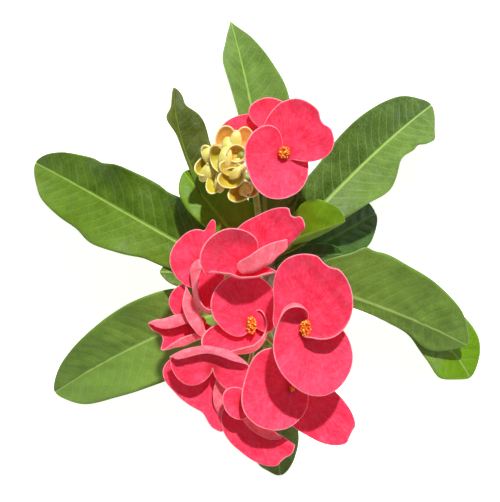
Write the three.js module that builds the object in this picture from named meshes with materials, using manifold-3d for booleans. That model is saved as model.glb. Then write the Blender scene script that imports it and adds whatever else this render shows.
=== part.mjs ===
// Crown of thorns (Euphorbia milii, large-flowered hybrid): one cut flowering shoot that lies on a
// surface on its cut end and its leaf tips. Millimetres, +Z up, the surface is Z = 0.
// Each leaf, bract, flower centre, young flower and flower stalk is a closed solid of its own. Where
// two meet, the later one is cut back from the earlier one by a small gap.
import * as THREE from "three";
import { mergeVertices } from "three/addons/utils/BufferGeometryUtils.js";
import Module from "manifold-3d";

const wasm = await Module();
wasm.setup();

// Driving dimensions
const leafThickness = 1.0;
const bractThickness = 0.7;
const youngThickness = 0.6;
const stemRadius = 6;
const thornLength = 9;
const thornRadius = 1.1;
const peduncleRadius = 1.3;
const pedicelRadius = 0.9;
const centreWidth = 3.4; // of the small cup in the middle of a flower
const centreHeight = 3.2;
const beadRadius = 1.5; // of the round foot of a young flower
const seatGap = 0.3; // between two pieces that meet
const placeOnSurface = [-0.3, 0.3, -0.1]; // centres the shoot over the origin, its lowest points on Z = 0

// How finely the curved sheets are cut
const leafRows = 9;
const leafColumns = 5;
const bractRings = 4; // one more for each line it is rolled round
const curledRings = 7; // of a bract whose margin curls up
const bractRays = 17;
const spoonRings = 4;
const spoonRays = 9;

const rad = THREE.MathUtils.degToRad;
const clamp = THREE.MathUtils.clamp;

// Leaves.
// spine: the four control points of the midrib, from the stem to the tip.
// left, right: half widths at every eighth of the midrib, seen from the stem. The tip closes the
// outline: pointed 0.5 is a round end, 1 a sharp one. foldLeft, foldRight: how far each half rises
// from flat, in degrees. curl: how much more it rises towards its edge. dents: how much narrower
// a half is round one place: [half, share of the midrib, depth, spread].
const plainLeaf = { pointed: 0.5, foldLeft: 8, foldRight: 8, curl: 10, dents: [] };
const leaves = {
  leaf_01: {
    spine: [[3.5, -0.5, 42.5], [4, 28.5, 50], [-3.5, 64.5, 30], [-10.5, 92.5, 0.7]],
    left: [1, 6.5, 7.5, 7.5, 7.5, 9, 10, 5.5],
    right: [1.2, 10, 14, 15, 15.5, 15, 11.5, 6.5],
    pointed: 0.9, foldLeft: 40,
  },
  leaf_02: {
    spine: [[0, -2, 38], [-20, 10, 44], [-32, 42, 46], [-31.6, 60.8, 38]],
    left: [1, 2, 3, 3, 2, 1.5, 2, 2],
    right: [1, 5, 8, 9.5, 10, 10.2, 10.2, 6.2],
    pointed: 0.5, foldLeft: 62, foldRight: 5, curl: 0,
    dents: [["left", 0.795, -5, 0.055], ["right", 0.88, 1.6, 0.05]],
  },
  leaf_03: {
    spine: [[-1, -2, 41.5], [-8, 2.5, 48], [-16.5, 15, 49], [-27.5, 28.5, 42]],
    left: [1, 2.5, 4, 5, 6, 7.5, 8, 7],
    right: [1, 9, 13, 13.5, 12.5, 11, 9.5, 7.5],
  },
  leaf_04: {
    spine: [[-1, -12.5, 34], [-25, -2.5, 42], [-61, 20.5, 28], [-90, 34.5, 0.7]],
    left: [1, 4, 8, 12, 15, 17.5, 15.5, 12],
    right: [1, 7, 12, 15.5, 16.5, 15.5, 13.5, 10],
    foldLeft: 6,
    dents: [
      ["right", 0.72, 1.2, 0.04], ["right", 0.47, 1, 0.05], ["left", 0.7, 1, 0.05],
      ["left", 0.43, 1.2, 0.05],
    ],
  },
  leaf_05: {
    spine: [[-1.5, -16, 30], [-12, -11, 35.5], [-23.5, -9, 36.5], [-37.2, -9.5, 34.5]],
    left: [1, 5, 8, 9, 9, 8, 6.5, 5],
    right: [1, 5, 8, 9, 9, 8, 6.5, 5],
    foldRight: -14,
  },
  leaf_06: {
    spine: [[-1, -22, 26], [-21.5, -25, 36], [-56.5, -41, 22], [-82, -59, 0.7]],
    left: [1, 9.5, 14, 16.5, 18, 17, 15, 12],
    right: [1, 6, 11.5, 15.5, 16.5, 15.5, 13, 9],
  },
  leaf_07: {
    spine: [[2, -27.5, 25], [3.5, -43.5, 32], [7, -73, 14], [10, -93, 0.7]],
    left: [1, 3.5, 5.5, 7.5, 8.5, 9.5, 9.5, 7],
    right: [1, 9, 12, 12.5, 11, 10.5, 10.5, 8.5],
  },
  leaf_08: {
    spine: [[5, -8, 36], [23.5, -14.5, 43], [55.5, -23.8, 29.5], [84.3, -39, 12]],
    left: [1, 4, 8.5, 15.5, 20, 18.8, 16.8, 12.5],
    right: [1, 3.5, 5, 5, 4.5, 5, 6, 9],
    foldLeft: 6, foldRight: -24,
    dents: [["left", 0.42, -2, 0.035]],
  },
  leaf_09: {
    spine: [[4.5, -17.5, 24], [35, -17, 34], [74, -27, 13.5], [87.3, -53.2, 0.7]],
    left: [1, 5, 8.5, 11, 13, 14, 14, 12.5],
    right: [1, 1.5, 2, 2.8, 4.4, 6, 10, 11.5],
    foldLeft: -15,
  },
  leaf_10: {
    spine: [[6, -3.5, 40], [18, 8, 52], [41.5, 35.5, 40], [71.5, 58, 0.7]],
    left: [1, 6, 9, 11.5, 12.5, 14.5, 14.5, 12],
    right: [1, 4, 6.5, 9, 12, 14.6, 9, 11.3],
    dents: [["right", 0.83, 1.4, 0.02], ["right", 0.895, -1.2, 0.022]],
  },
  leaf_11: {
    spine: [[6, -5.5, 36], [18.5, -3, 40], [34, 6, 28], [47.5, 13.5, 15]],
    left: [1, 5, 8, 10.5, 11.5, 12, 12, 12],
    right: [1, 3.5, 5.5, 8, 9, 10, 10, 7],
  },
  leaf_12: {
    spine: [[4.5, -1, 43], [13, 2.5, 54], [22.5, 6, 56], [33, 9.6, 50]],
    left: [1, 3, 5.5, 8, 10, 12, 11.5, 8.5],
    right: [1, 3, 5, 6, 6.5, 6.5, 5.5, 3.5],
    pointed: 0.4, foldRight: -75,
  },
  leaf_13: {
    spine: [[5, -5, 39.5], [13.5, -4, 43], [23, -3, 41], [33, -2.5, 34.5]],
    left: [1.5, 2.5, 3.5, 4, 4.5, 4.5, 4.5, 3.5],
    right: [1.5, 4, 5.5, 6, 6, 5.5, 5, 3.5],
  },
};

// Bracts.
// A bract is a fan of rays from its foot. at: the foot. az, el: where it points, in degrees (az from
// +X towards +Y, el up). bank: how far its left side is raised. reach: length of the rays at
// -160, -120, -80, -40, 0, 40, 80, 120 and 160 degrees from where it points, left positive.
// cup: how far its rim curves up, cupAt: how far from the foot it is deepest. notch: [direction,
// depth, spread], a negative depth is a point. curl: how far the margin turns up in the same nine
// directions, round curlRadius. lip: how far it runs on from there. sinus: half width of the gap at
// its back. rolls: where it turns up round a line: [direction, distance from the foot, radius, turn,
// bow].
const zeros = new Array(9).fill(0);
const plainBract = {
  el: 0, bank: 0, cup: 10, cupAt: 0, notch: [0, 0, 8], curl: zeros, lip: zeros, curlRadius: 2, sinus: 26,
  rolls: [],
};
const flowers = {
  flower_01: {
    bract_a: {
      at: [8.8, 33.5, 69], az: 245, el: 3, bank: -10, reach: [9, 12, 14, 14.5, 17, 15.2, 11.5, 8, 4],
      cup: 26,
    },
    bract_b: {
      at: [10.8, 34, 69], az: 40, el: 3, bank: -10, reach: [2, 3, 5, 16.5, 18, 19, 14, 9, 5],
      notch: [-2, 0.08, 9], cup: 14,
    },
    centre: { at: [9.8, 33.8, 69.7], heap: [4.2, 4.4] },
  },
  flower_02: {
    bract_a: { at: [5.5, 45.5, 49], az: 190, el: -2, reach: [3, 5, 6, 9, 20, 17, 9, 5, 3], cup: 8 },
    bract_b: { at: [6, 46.5, 51], az: 115, el: 3, reach: [5, 6, 8, 8.5, 9.5, 10, 6, 4, 3], cup: 16 },
    centre: { at: [6, 45.8, 51.2] },
  },
  flower_03: {
    bract_a: {
      at: [-4, -7.5, 71.2], az: 205, el: 2, bank: -8, reach: [9, 13, 17, 17.5, 12, 8, 7, 11, 15],
      cup: 30, rolls: [[65, 1.5, 2.5, 95, 0]],
    },
    bract_b: {
      at: [-2, -7, 71.5], az: 46, el: 2, bank: -9, reach: [11, 10, 12.5, 17, 25.4, 17.5, 12.5, 7, 5],
      cup: 14, notch: [3, 0.09, 4.5], rolls: [[-116, 0.3, 2, 150, 0.011]],
    },
    centre: { at: [-2.9, -7.4, 71.2], heap: [1.8, 1.8] },
  },
  flower_04: {
    bract_a: {
      at: [-20.5, -5.5, 59], az: 175, el: 2, reach: [8, 9, 12, 11.5, 11.5, 10.5, 10, 8, 5],
      notch: [-103, -0.55, 8],
    },
    bract_b: {
      at: [-19, -6.5, 61], az: -85, el: -8, reach: [3, 3.6, 5.2, 8, 17, 9, 7, 5, 3], cup: 6,
      curl: [90, 130, 150, 150, 120, 30, 0, 0, 0], lip: [1, 2, 4, 4.5, 3, 1, 0, 0, 0], curlRadius: 1.6,
    },
    centre: { at: [-18.2, -5.5, 61.7] },
  },
  flower_05: {
    bract_a: {
      at: [-2.5, -27, 62.5], az: 115, el: -5, reach: [10, 9.5, 12.5, 16, 17.5, 15.5, 10.5, 7, 4],
      cup: 26,
    },
    bract_b: {
      at: [-2, -29, 61], az: 280, el: 2, reach: [4, 6.5, 19, 11.5, 8.8, 6.6, 6, 6.4, 8], cup: 6,
      curl: [0, 0, 95, 125, 130, 120, 110, 95, 90], lip: [0, 0, 2, 3.2, 3, 2, 1.5, 1.5, 2],
    },
    centre: { at: [-2, -28.3, 63.2], heap: [3.6, 6.4] },
  },
  flower_06: {
    bract_a: {
      at: [17, -27.5, 77.5], az: 65, el: 4, bank: -10, reach: [5, 5.6, 12, 19, 24, 24, 13.5, 11, 7],
      cup: 12, notch: [3, 0.07, 8], curl: [90, 100, 70, 20, 0, 0, 0, 0, 0],
      lip: [1.5, 1.5, 1, 0, 0, 0, 0, 0, 0], curlRadius: 2.5,
    },
    bract_b: {
      at: [17, -30.5, 77], az: -115, el: 4, bank: -11,
      reach: [10.6, 12.4, 11, 13.1, 17.5, 22.6, 19.8, 13.5, 7], cup: 14,
      curl: [130, 110, 60, 30, 0, 0, 0, 0, 0], lip: [2.5, 2, 0.5, 0, 0, 0, 0, 0, 0], curlRadius: 3,
    },
    centre: { at: [17, -28.8, 78.2], heap: [3.8, 6.2] },
  },
  flower_07: {
    bract_a: {
      at: [-22.5, -26.5, 56.5], az: 105, el: 1, reach: [9, 9.5, 10, 12.5, 14, 12, 5, 3, 2.5], cup: 8,
      sinus: 16, rolls: [[-86, -0.3, 2.5, 150, 0]],
    },
    bract_b: {
      at: [-23.5, -27.5, 55], az: 200, reach: [5, 8, 11.5, 17, 15.5, 16, 13.5, 11, 7], cup: 8,
      notch: [6, 0.18, 12], rolls: [[-100, 1.2, 2.6, 165, 0], [100, 4.5, 2.5, 150, 0.01]],
    },
    centre: { at: [-20.3, -27.6, 55.7] },
  },
  flower_08: {
    bract_a: {
      at: [-18, -43.5, 59], az: -97, el: -4, reach: [5, 8, 16.2, 15.5, 17, 23.5, 17, 8, 5],
      notch: [15, -0.2, 10], cup: 9, rolls: [[97, 5.8, 2.6, 165, 0]],
    },
    bract_b: {
      at: [-16, -44, 65], az: 90, el: 4, reach: [10, 14, 14, 14.5, 14, 17, 15.5, 11.5, 5], cup: 8,
      rolls: [[-12, 6, 2.5, 165, 0.022]],
    },
    centre: { at: [-18.4, -43.6, 59.7] },
  },
  flower_09: {
    bract_a: {
      at: [12.5, -50, 66], az: 210, reach: [5, 11.5, 16.8, 17, 19.3, 16.8, 11.5, 7, 4], cup: 22,
    },
    bract_b: {
      at: [14, -52, 64], az: -40, el: -12, reach: [6.5, 5, 9, 16, 26.5, 14, 9, 6, 4],
      notch: [2, 0.05, 6],
    },
    centre: { at: [12.7, -51, 66.4], heap: [1.9, 1.9] },
  },
  flower_10: {
    bract_a: {
      at: [-7.8, -59.3, 61], az: -47, el: -6, reach: [4.5, 5.2, 8.2, 14.6, 26, 19.5, 7, 4.5, 4],
      cup: 8, notch: [1, 0.05, 6], rolls: [[112, -1.9, 2.5, 150, 0]],
    },
    bract_b: {
      at: [-5, -56.3, 67], az: 225, el: 2, reach: [3.2, 5.8, 7.9, 7.1, 6.5, 6, 4.7, 4, 3], sinus: 16,
    },
    centre: { at: [-8.4, -58.5, 61.5] },
  },
};

// Young flowers.
// Small deep spoon bracts round a bead. Each spoon: [foot from the bead in x and y, az, el, bank,
// length, width, depth]. bank 180 turns its outside up.
const youngFlowers = {
  young_1: {
    at: [-11, 35.5, 57.5],
    spoons: [
      [0, 0, 92, 8, 0, 9.2, 8.2, 1.2], [1.6, -1.4, 105, 12, 180, 6.4, 5.2, 1.6],
      [-2, -0.6, 150, 10, 0, 4.6, 3.8, 1.6], [3, -1, 86, 12, 180, 8.4, 3.4, 1],
    ],
  },
  young_2: {
    at: [-5, 35.6, 56],
    spoons: [
      [0, 0, 84, 5, 0, 8.8, 7.4, 0.8], [0, 0, 250, 20, 0, 4, 4, 1.2],
    ],
  },
  young_3: {
    at: [-5.6, 33.5, 60],
    spoons: [
      [0.6, 0.2, 172, 8, 0, 6.4, 6.4, 2.8], [0.4, -2, 198, 0, 180, 5, 3, 0.8],
    ],
  },
  young_4: {
    at: [-16, 31.3, 57.5],
    spoons: [
      [0, 0, 122, 6, 180, 7, 5, 1.6], [-1.6, 0, 106, 10, 0, 6.4, 3.4, 1.4],
    ],
  },
  young_5: {
    at: [-15.8, 31.2, 56.5],
    spoons: [
      [0, 0, 208, 6, 0, 8, 7, 2.8], [0.8, 0, 230, 4, 180, 9, 4.4, 1.4],
    ],
  },
  young_6: {
    at: [-13, 28.8, 61],
    spoons: [
      [-0.5, 0, 104, 8, 0, 8.8, 5.6, 2.4], [0.8, -0.2, 80, 5, 180, 8.2, 4.4, 1.4],
    ],
  },
  young_7: {
    at: [-13.8, 29, 58.5],
    spoons: [
      [-0.4, 0, 254, 6, 0, 10.4, 5.4, 2.4], [1, -1.6, 262, 4, 180, 7.6, 4.2, 1.2],
    ],
  },
  young_8: {
    at: [-5.6, 26.6, 61.5],
    spoons: [
      [0, 0.8, 164, 8, 0, 8.8, 5.6, 1.6], [-0.2, -0.6, 194, 4, 0, 9, 7.4, 3.2],
      [1.2, 2.4, 216, 6, 180, 6.8, 3.2, 1.2],
    ],
  },
  young_9: {
    at: [-3.2, 22, 58.5],
    spoons: [
      [0, 0, 212, 5, 0, 8.6, 6.8, 2.8], [1, 1, 225, 12, 180, 5.4, 4.2, 1.2],
      [3.2, -0.4, 205, 8, 0, 5.8, 4.8, 1.8],
    ],
  },
};

// Stem and stalks.
const stemFoot = new THREE.Vector3(2.5, -46.5, 4.7); // middle of the cut end
const stemTop = new THREE.Vector3(2.5, 2.5, 46);
// [share of the length, share of the radius]: slight swellings at the old leaf scars
const stemProfile = [
  [0, 1], [0.12, 0.97], [0.16, 1.05], [0.3, 0.98], [0.34, 1.05], [0.5, 0.97], [0.54, 1.03],
  [0.7, 0.93], [0.74, 0.97], [0.88, 0.8], [0.95, 0.6], [1, 0],
];
// [share of the length, degrees round the stem, from +X over the upper side, lean to the top]
const thorns = [
  [0.1, 20, 15], [0.13, 160, 20], [0.24, 75, 20], [0.27, 120, 25], [0.3, 0, 20], [0.34, 185, 20],
  [0.44, 20, 20], [0.47, 165, 20], [0.5, 340, 20], [0.56, 215, 20], [0.6, 270, 30], [0.64, 315, 25],
  [0.72, 235, 30], [0.78, 285, 35],
];
// Each stalk is one piece: [radius, through these points]. It starts inside the stem.
const lowerFork = [0, -28.5, 57];
const leftFork = [-13, -32, 53];
const rightFork = [10.5, -38, 57];
const upperFork = [-1, 24, 53];
const youngFork = [-10, 28.5, 51.5];
const stalks = {
  stalk_lower: [
    [peduncleRadius, [1.5, -9, 40], [0.5, -15.5, 52], lowerFork],
    [pedicelRadius, [0.5, -15.5, 52], [-1, -10, 63], [-3, -7.2, 70.6]],
    [pedicelRadius, lowerFork, [-1.5, -29.5, 59], [-2.3, -28.3, 62.2]],
    [peduncleRadius, lowerFork, [-6, -31.5, 55], leftFork],
    [pedicelRadius, leftFork, [-18, -29.5, 51.5], [-22.6, -26.8, 55.7]],
    [pedicelRadius, leftFork, [-15.5, -40, 54], [-16, -44, 64.2]],
    [pedicelRadius, leftFork, [-17, -18, 51], [-19.2, -6, 60.2]],
    [peduncleRadius, lowerFork, [5, -34, 57], rightFork],
    [pedicelRadius, rightFork, [15.5, -34, 67], [17, -29, 76.7]],
    [pedicelRadius, rightFork, [12.5, -46, 58], [12.8, -50.3, 65.2]],
    [pedicelRadius, lowerFork, [-3, -45, 54], [-7.2, -57.6, 59.8], [-5.2, -56.3, 66.4]],
  ],
  stalk_upper: [
    [peduncleRadius, [1.5, 0, 43.5], [0.5, 12, 51], upperFork],
    [pedicelRadius, upperFork, [5, 30, 57], [9.6, 33.8, 68.6]],
    [pedicelRadius, upperFork, [2, 36, 45], [6, 46.4, 50.2]],
    [peduncleRadius, upperFork, [-5, 27, 52], youngFork],
  ],
};

// The value at t (0 .. last index) of a smooth curve through evenly spaced values
function smooth(values, t) {
  const last = values.length - 1;
  const i = clamp(Math.floor(t), 0, last - 1);
  const f = t - i;
  const at = (k) => values[clamp(k, 0, last)];
  const [a, b, c, d] = [at(i - 1), at(i), at(i + 1), at(i + 2)];
  return b + 0.5 * f * (c - a + f * (2 * a - 5 * b + 4 * c - d + f * (3 * (b - c) + d - a)));
}

// Half width of a leaf at u (0 .. 1). Its power is what runs smoothly, so that the tip closes.
function halfWidth(stations, pointed, u) {
  const powers = [...stations, 0].map((w) => w ** (1 / pointed));
  return Math.max(smooth(powers, u * 8), 1e-4) ** pointed;
}

function leafGrid(leaf, rows) {
  const p = { ...plainLeaf, ...leaf };
  const curve = new THREE.CubicBezierCurve3(...p.spine.map((k) => new THREE.Vector3(...k)));
  const up = new THREE.Vector3(0, 0, 1);
  const grid = [];
  for (let i = 0; i < rows; i++) {
    const u = Math.min(Math.sin((Math.PI / 2) * (i / (rows - 1)) ** 0.9), 0.999);
    const on = curve.getPoint(u);
    const along = curve.getTangent(u);
    const side = new THREE.Vector3().crossVectors(up, along).normalize();
    const normal = new THREE.Vector3().crossVectors(along, side);
    const row = [];
    for (let j = 0; j < leafColumns; j++) {
      const v = -1 + (2 * j) / (leafColumns - 1);
      const isLeft = v > 0;
      let h = halfWidth(isLeft ? p.left : p.right, p.pointed, u);
      for (const [half, at, depth, spread] of p.dents) {
        if (isLeft === (half === "left")) h -= depth * Math.exp(-(((u - at) / spread) ** 2));
      }
      h *= Math.abs(v);
      const fold = rad(isLeft ? p.foldLeft : p.foldRight) * clamp(u * 4, 0, 1);
      const turn = rad(p.curl) * Math.abs(v) + 1e-4;
      const out = (h * (Math.sin(fold + turn) - Math.sin(fold))) / turn;
      const rise = (h * (Math.cos(fold) - Math.cos(fold + turn))) / turn;
      const point = on.clone().addScaledVector(side, isLeft ? out : -out);
      row.push(point.addScaledVector(normal, rise));
    }
    grid.push(row);
  }
  return grid;
}

// The three directions of a bract: where it points, its left and its upper side
function bractFrame({ az, el, bank }) {
  const [a, e, b] = [rad(az), rad(el), rad(bank)];
  const along = new THREE.Vector3(Math.cos(e) * Math.cos(a), Math.cos(e) * Math.sin(a), Math.sin(e));
  const level = new THREE.Vector3(-Math.sin(a), Math.cos(a), 0);
  const upright = new THREE.Vector3().crossVectors(along, level);
  const left = level.clone().multiplyScalar(Math.cos(b)).addScaledVector(upright, Math.sin(b));
  const up = upright.clone().multiplyScalar(Math.cos(b)).addScaledVector(level, -Math.sin(b));
  return [along, left, up];
}

// Turns a point (x, y, z) of a bract up round a line that lies across its direction
function rolled([x, y, z], [direction, distance, radius, turn, bow]) {
  const [c, s] = [Math.cos(rad(direction)), Math.sin(rad(direction))];
  const across = y * c - x * s;
  const from = distance - bow * across * across;
  const past = x * c + y * s - from;
  if (past <= 0) return [x, y, z];
  const angle = Math.min(past / radius, rad(turn));
  const rest = Math.max(past - rad(turn) * radius, 0);
  const out = from + (radius - z) * Math.sin(angle) + rest * Math.cos(angle);
  const rise = radius - (radius - z) * Math.cos(angle) + rest * Math.sin(angle);
  return [out * c - across * s, out * s + across * c, rise];
}

function bractGrid(bract, rings, rays, grow) {
  const p = { ...plainBract, ...bract };
  const [along, left, up] = bractFrame(p);
  const mean = p.reach.reduce((sum, r) => sum + r, 0) / p.reach.length;
  const bulge = Math.tan(rad(p.cup)) / (2 * mean);
  const [direction, depth, spread] = p.notch;
  const grid = Array.from({ length: rings }, () => []);
  for (let j = 0; j < rays; j++) {
    const degrees = -170 + (340 * j) / (rays - 1);
    const station = (degrees + 160) / 40;
    const [c, s] = [Math.cos(rad(degrees)), Math.sin(rad(degrees))];
    const opening = 1 - Math.exp(-(((180 - Math.abs(degrees)) / p.sinus) ** 2));
    const notched = 1 - depth * Math.exp(-(Math.abs((degrees - direction) / spread) ** 3));
    const reach = smooth(p.reach, station) * opening * notched;
    const curl = rad(Math.max(smooth(p.curl, station), 0)) * opening;
    const lip = Math.max(smooth(p.lip, station), 0) * opening;
    const bend = Math.min(p.curlRadius, 0.45 * reach);
    const flat = reach - bend * Math.sin(Math.min(curl, Math.PI / 2));
    const length = flat + bend * curl + lip;
    const margin = Math.max(bend * curl + lip, 0.3 * length);
    for (let i = 0; i < rings; i++) {
      const t = i / (rings - 1);
      const inner = (length - margin) * (2 * Math.min(t, 0.5)) ** 0.85;
      const from = (t < 0.5 ? inner : length - margin * (2 - 2 * t)) + (t === 1 ? grow : 0);
      const angle = clamp((from - flat) / bend, 0, curl);
      const rest = Math.max(from - flat - bend * curl, 0);
      const r = Math.min(from, flat) + bend * Math.sin(angle) + rest * Math.cos(angle);
      const hollow = (r - 2 * p.cupAt * c) * r * bulge;
      let point = [r * c, r * s, hollow + bend * (1 - Math.cos(angle)) + rest * Math.sin(angle)];
      for (const roll of p.rolls) point = rolled(point, roll);
      const place = new THREE.Vector3(...p.at).addScaledVector(along, point[0]);
      grid[i].push(place.addScaledVector(left, point[1]).addScaledVector(up, point[2]));
    }
  }
  return grid;
}

// The shape of a spoon bract: an oval with the foot near one end, deepest in its middle
function spoonShape(at, [x, y, az, el, bank, length, width, depth]) {
  const [middle, a, b] = [0.42 * length, 0.58 * length, 0.5 * width];
  const reach = zeros.map((_, k) => {
    const [c, s] = [Math.cos(rad(40 * k - 160)), Math.sin(rad(40 * k - 160))];
    const square = (c / a) ** 2 + (s / b) ** 2;
    const half = (middle * c) / a ** 2;
    return (half + Math.sqrt(half ** 2 + square * (1 - (middle / a) ** 2))) / square;
  });
  const mean = reach.reduce((sum, r) => sum + r, 0) / reach.length;
  const cup = THREE.MathUtils.radToDeg(Math.atan((2 * mean * depth) / middle ** 2));
  return { at: [at[0] + x, at[1] + y, at[2]], az, el, bank, reach, cup, cupAt: middle, sinus: 14 };
}

// A closed solid of even thickness round a grid of points. With isFan the first row is one point.
function solidSheet(grid, thickness, isFan = false) {
  const [rows, columns] = [grid.length, grid[0].length];
  const normalAt = (i, j) => {
    const down = grid[Math.max(i - 1, 0)][j];
    const upper = grid[Math.min(i + 1, rows - 1)][j];
    const before = grid[i][Math.max(j - 1, 0)];
    const after = grid[i][Math.min(j + 1, columns - 1)];
    const a = new THREE.Vector3().subVectors(upper, down);
    const b = new THREE.Vector3().subVectors(after, before);
    return a.cross(b).normalize();
  };
  const positions = [];
  const indexOf = [[], []];
  for (const [k, offset] of [[0, thickness / 2], [1, -thickness / 2]]) {
    for (let i = 0; i < rows; i++) {
      const isFoot = isFan && i === 0;
      const footNormal = new THREE.Vector3();
      if (isFoot) for (let j = 0; j < columns; j++) footNormal.add(normalAt(1, j));
      footNormal.normalize();
      const row = [];
      for (let j = 0; j < columns; j++) {
        if (isFoot && j > 0) {
          row.push(row[0]);
          continue;
        }
        const normal = isFoot ? footNormal : normalAt(i, j);
        row.push(positions.length / 3);
        positions.push(...grid[i][j].clone().addScaledVector(normal, offset).toArray());
      }
      indexOf[k].push(row);
    }
  }
  const index = [];
  const quad = (a, b, c, d) => {
    if (a !== b && b !== c && c !== a) index.push(a, b, c);
    if (a !== c && c !== d && d !== a) index.push(a, c, d);
  };
  const [top, under] = indexOf;
  for (let i = 0; i < rows - 1; i++) {
    for (let j = 0; j < columns - 1; j++) {
      quad(top[i][j], top[i + 1][j], top[i + 1][j + 1], top[i][j + 1]);
      quad(under[i][j], under[i][j + 1], under[i + 1][j + 1], under[i + 1][j]);
    }
    quad(top[i][0], under[i][0], under[i + 1][0], top[i + 1][0]);
    const j = columns - 1;
    quad(top[i][j], top[i + 1][j], under[i + 1][j], under[i][j]);
  }
  for (let j = 0; j < columns - 1; j++) {
    if (!isFan) quad(top[0][j], top[0][j + 1], under[0][j + 1], under[0][j]);
    const i = rows - 1;
    quad(top[i][j], under[i][j], under[i][j + 1], top[i][j + 1]);
  }
  const geometry = new THREE.BufferGeometry();
  geometry.setAttribute("position", new THREE.Float32BufferAttribute(positions, 3));
  geometry.setIndex(index);
  return geometry;
}

// A round tube through the points
function tube(radius, points, grow) {
  const path = points.map((k) => new THREE.Vector3(...k));
  const ending = new THREE.Vector3().subVectors(path.at(-1), path.at(-2)).setLength(grow);
  path.at(-1).add(ending);
  const curve = new THREE.CatmullRomCurve3(path);
  const section = new THREE.Shape();
  section.absarc(0, 0, radius + grow, 0, 2 * Math.PI);
  return new THREE.ExtrudeGeometry(section, {
    steps: clamp(Math.round(curve.getLength() / 4), 3, 7),
    extrudePath: curve,
    curveSegments: 3,
    bevelEnabled: false,
  });
}

function toSolid(geometry) {
  const bare = geometry.clone();
  bare.deleteAttribute("normal");
  bare.deleteAttribute("uv");
  const merged = mergeVertices(bare, 1e-4);
  return new wasm.Manifold(
    new wasm.Mesh({
      numProp: 3,
      vertProperties: new Float32Array(merged.attributes.position.array),
      triVerts: new Uint32Array(merged.index.array),
    }),
  );
}

// One solid from several that run into each other
const joined = (geometries) => geometries.map(toSolid).reduce((sum, next) => sum.add(next));

// Each maker takes grow: how much bigger the piece is made all round

function stem(grow) {
  const length = stemFoot.distanceTo(stemTop);
  const outline = stemProfile.map(([s, r]) => new THREE.Vector2(r * stemRadius, s * length));
  for (const point of outline) point.x += point.x > 0 ? grow : 0;
  outline.at(-1).y += grow;
  const body = new THREE.LatheGeometry([new THREE.Vector2(0, 0), ...outline], 14);
  const axis = new THREE.Vector3().subVectors(stemTop, stemFoot).normalize();
  const right = new THREE.Vector3(1, 0, 0);
  const upper = new THREE.Vector3().crossVectors(right, axis);
  const yAxis = new THREE.Vector3(0, 1, 0);
  body.applyQuaternion(new THREE.Quaternion().setFromUnitVectors(yAxis, axis));
  body.translate(...stemFoot.toArray());
  const pieces = [body];
  for (const [s, around, lean] of thorns) {
    const outward = right.clone().multiplyScalar(Math.cos(rad(around)));
    outward.addScaledVector(upper, Math.sin(rad(around)));
    const direction = outward.clone().multiplyScalar(Math.cos(rad(lean)));
    direction.addScaledVector(axis, Math.sin(rad(lean)));
    const thorn = new THREE.ConeGeometry(thornRadius + grow, thornLength + grow, 6);
    thorn.translate(0, thornLength / 2, 0);
    thorn.applyQuaternion(new THREE.Quaternion().setFromUnitVectors(yAxis, direction));
    const root = stemFoot.clone().addScaledVector(axis, s * length);
    root.addScaledVector(outward, stemRadius * 0.75);
    pieces.push(thorn.translate(...root.toArray()));
  }
  return joined(pieces);
}

const leafSolid = (leaf, grow) => toSolid(solidSheet(leafGrid(leaf, leafRows), leafThickness + 2 * grow));

function bract(shape, grow) {
  const rings = shape.curl ? curledRings : bractRings + (shape.rolls ?? []).length;
  const grid = bractGrid(shape, rings, bractRays, grow);
  const sheet = toSolid(solidSheet(grid, bractThickness + 2 * grow, true));
  if (grow === 0) return sheet;
  // Round its foot, where the back notch is too narrow to follow
  const foot = new THREE.IcosahedronGeometry(0.9, 1).translate(...shape.at);
  return sheet.add(toSolid(foot));
}

const stalk = (branches, grow) =>
  joined(branches.map(([radius, ...points]) => tube(radius, points, grow)));

function centre({ at, heap = [centreWidth, centreWidth] }, grow) {
  const h = centreHeight;
  const outline = [
    [0, 0], [0.2, 0], [0.42, 0.35 * h], [0.5, 0.8 * h], [0.42, h], [0.25, 0.8 * h], [0, 0.7 * h],
  ];
  const cup = new THREE.LatheGeometry(outline.map((k) => new THREE.Vector2(...k)), 8);
  cup.rotateX(Math.PI / 2);
  cup.scale(heap[0] + 2 * grow, heap[1] + 2 * grow, 1 + (2 * grow) / h);
  return toSolid(cup.translate(at[0], at[1], at[2] - 0.4 - grow));
}

function young({ at, spoons }, grow) {
  const pieces = spoons.map((spoon) => {
    const grid = bractGrid(spoonShape(at, spoon), spoonRings, spoonRays, grow);
    return solidSheet(grid, youngThickness + 2 * grow, true);
  });
  const bead = new THREE.SphereGeometry(beadRadius + grow, 7, 5);
  pieces.push(bead.translate(...at));
  return joined(pieces);
}

// The small stalks of the young flowers, from their fork to just inside each bead
for (const { at } of Object.values(youngFlowers)) {
  const under = [at[0] - 0.5, at[1] - 0.5, at[2] - 3];
  stalks.stalk_upper.push([0.6, youngFork, under, [at[0], at[1], at[2] - 0.6]]);
}

const shoot = new THREE.Group();
shoot.position.set(...placeOnSurface);

const earlier = []; // [box, the piece made bigger by the gap]

const apart = (a, b) => [0, 1, 2].some((k) => a.min[k] > b.max[k] || b.min[k] > a.max[k]);

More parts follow.
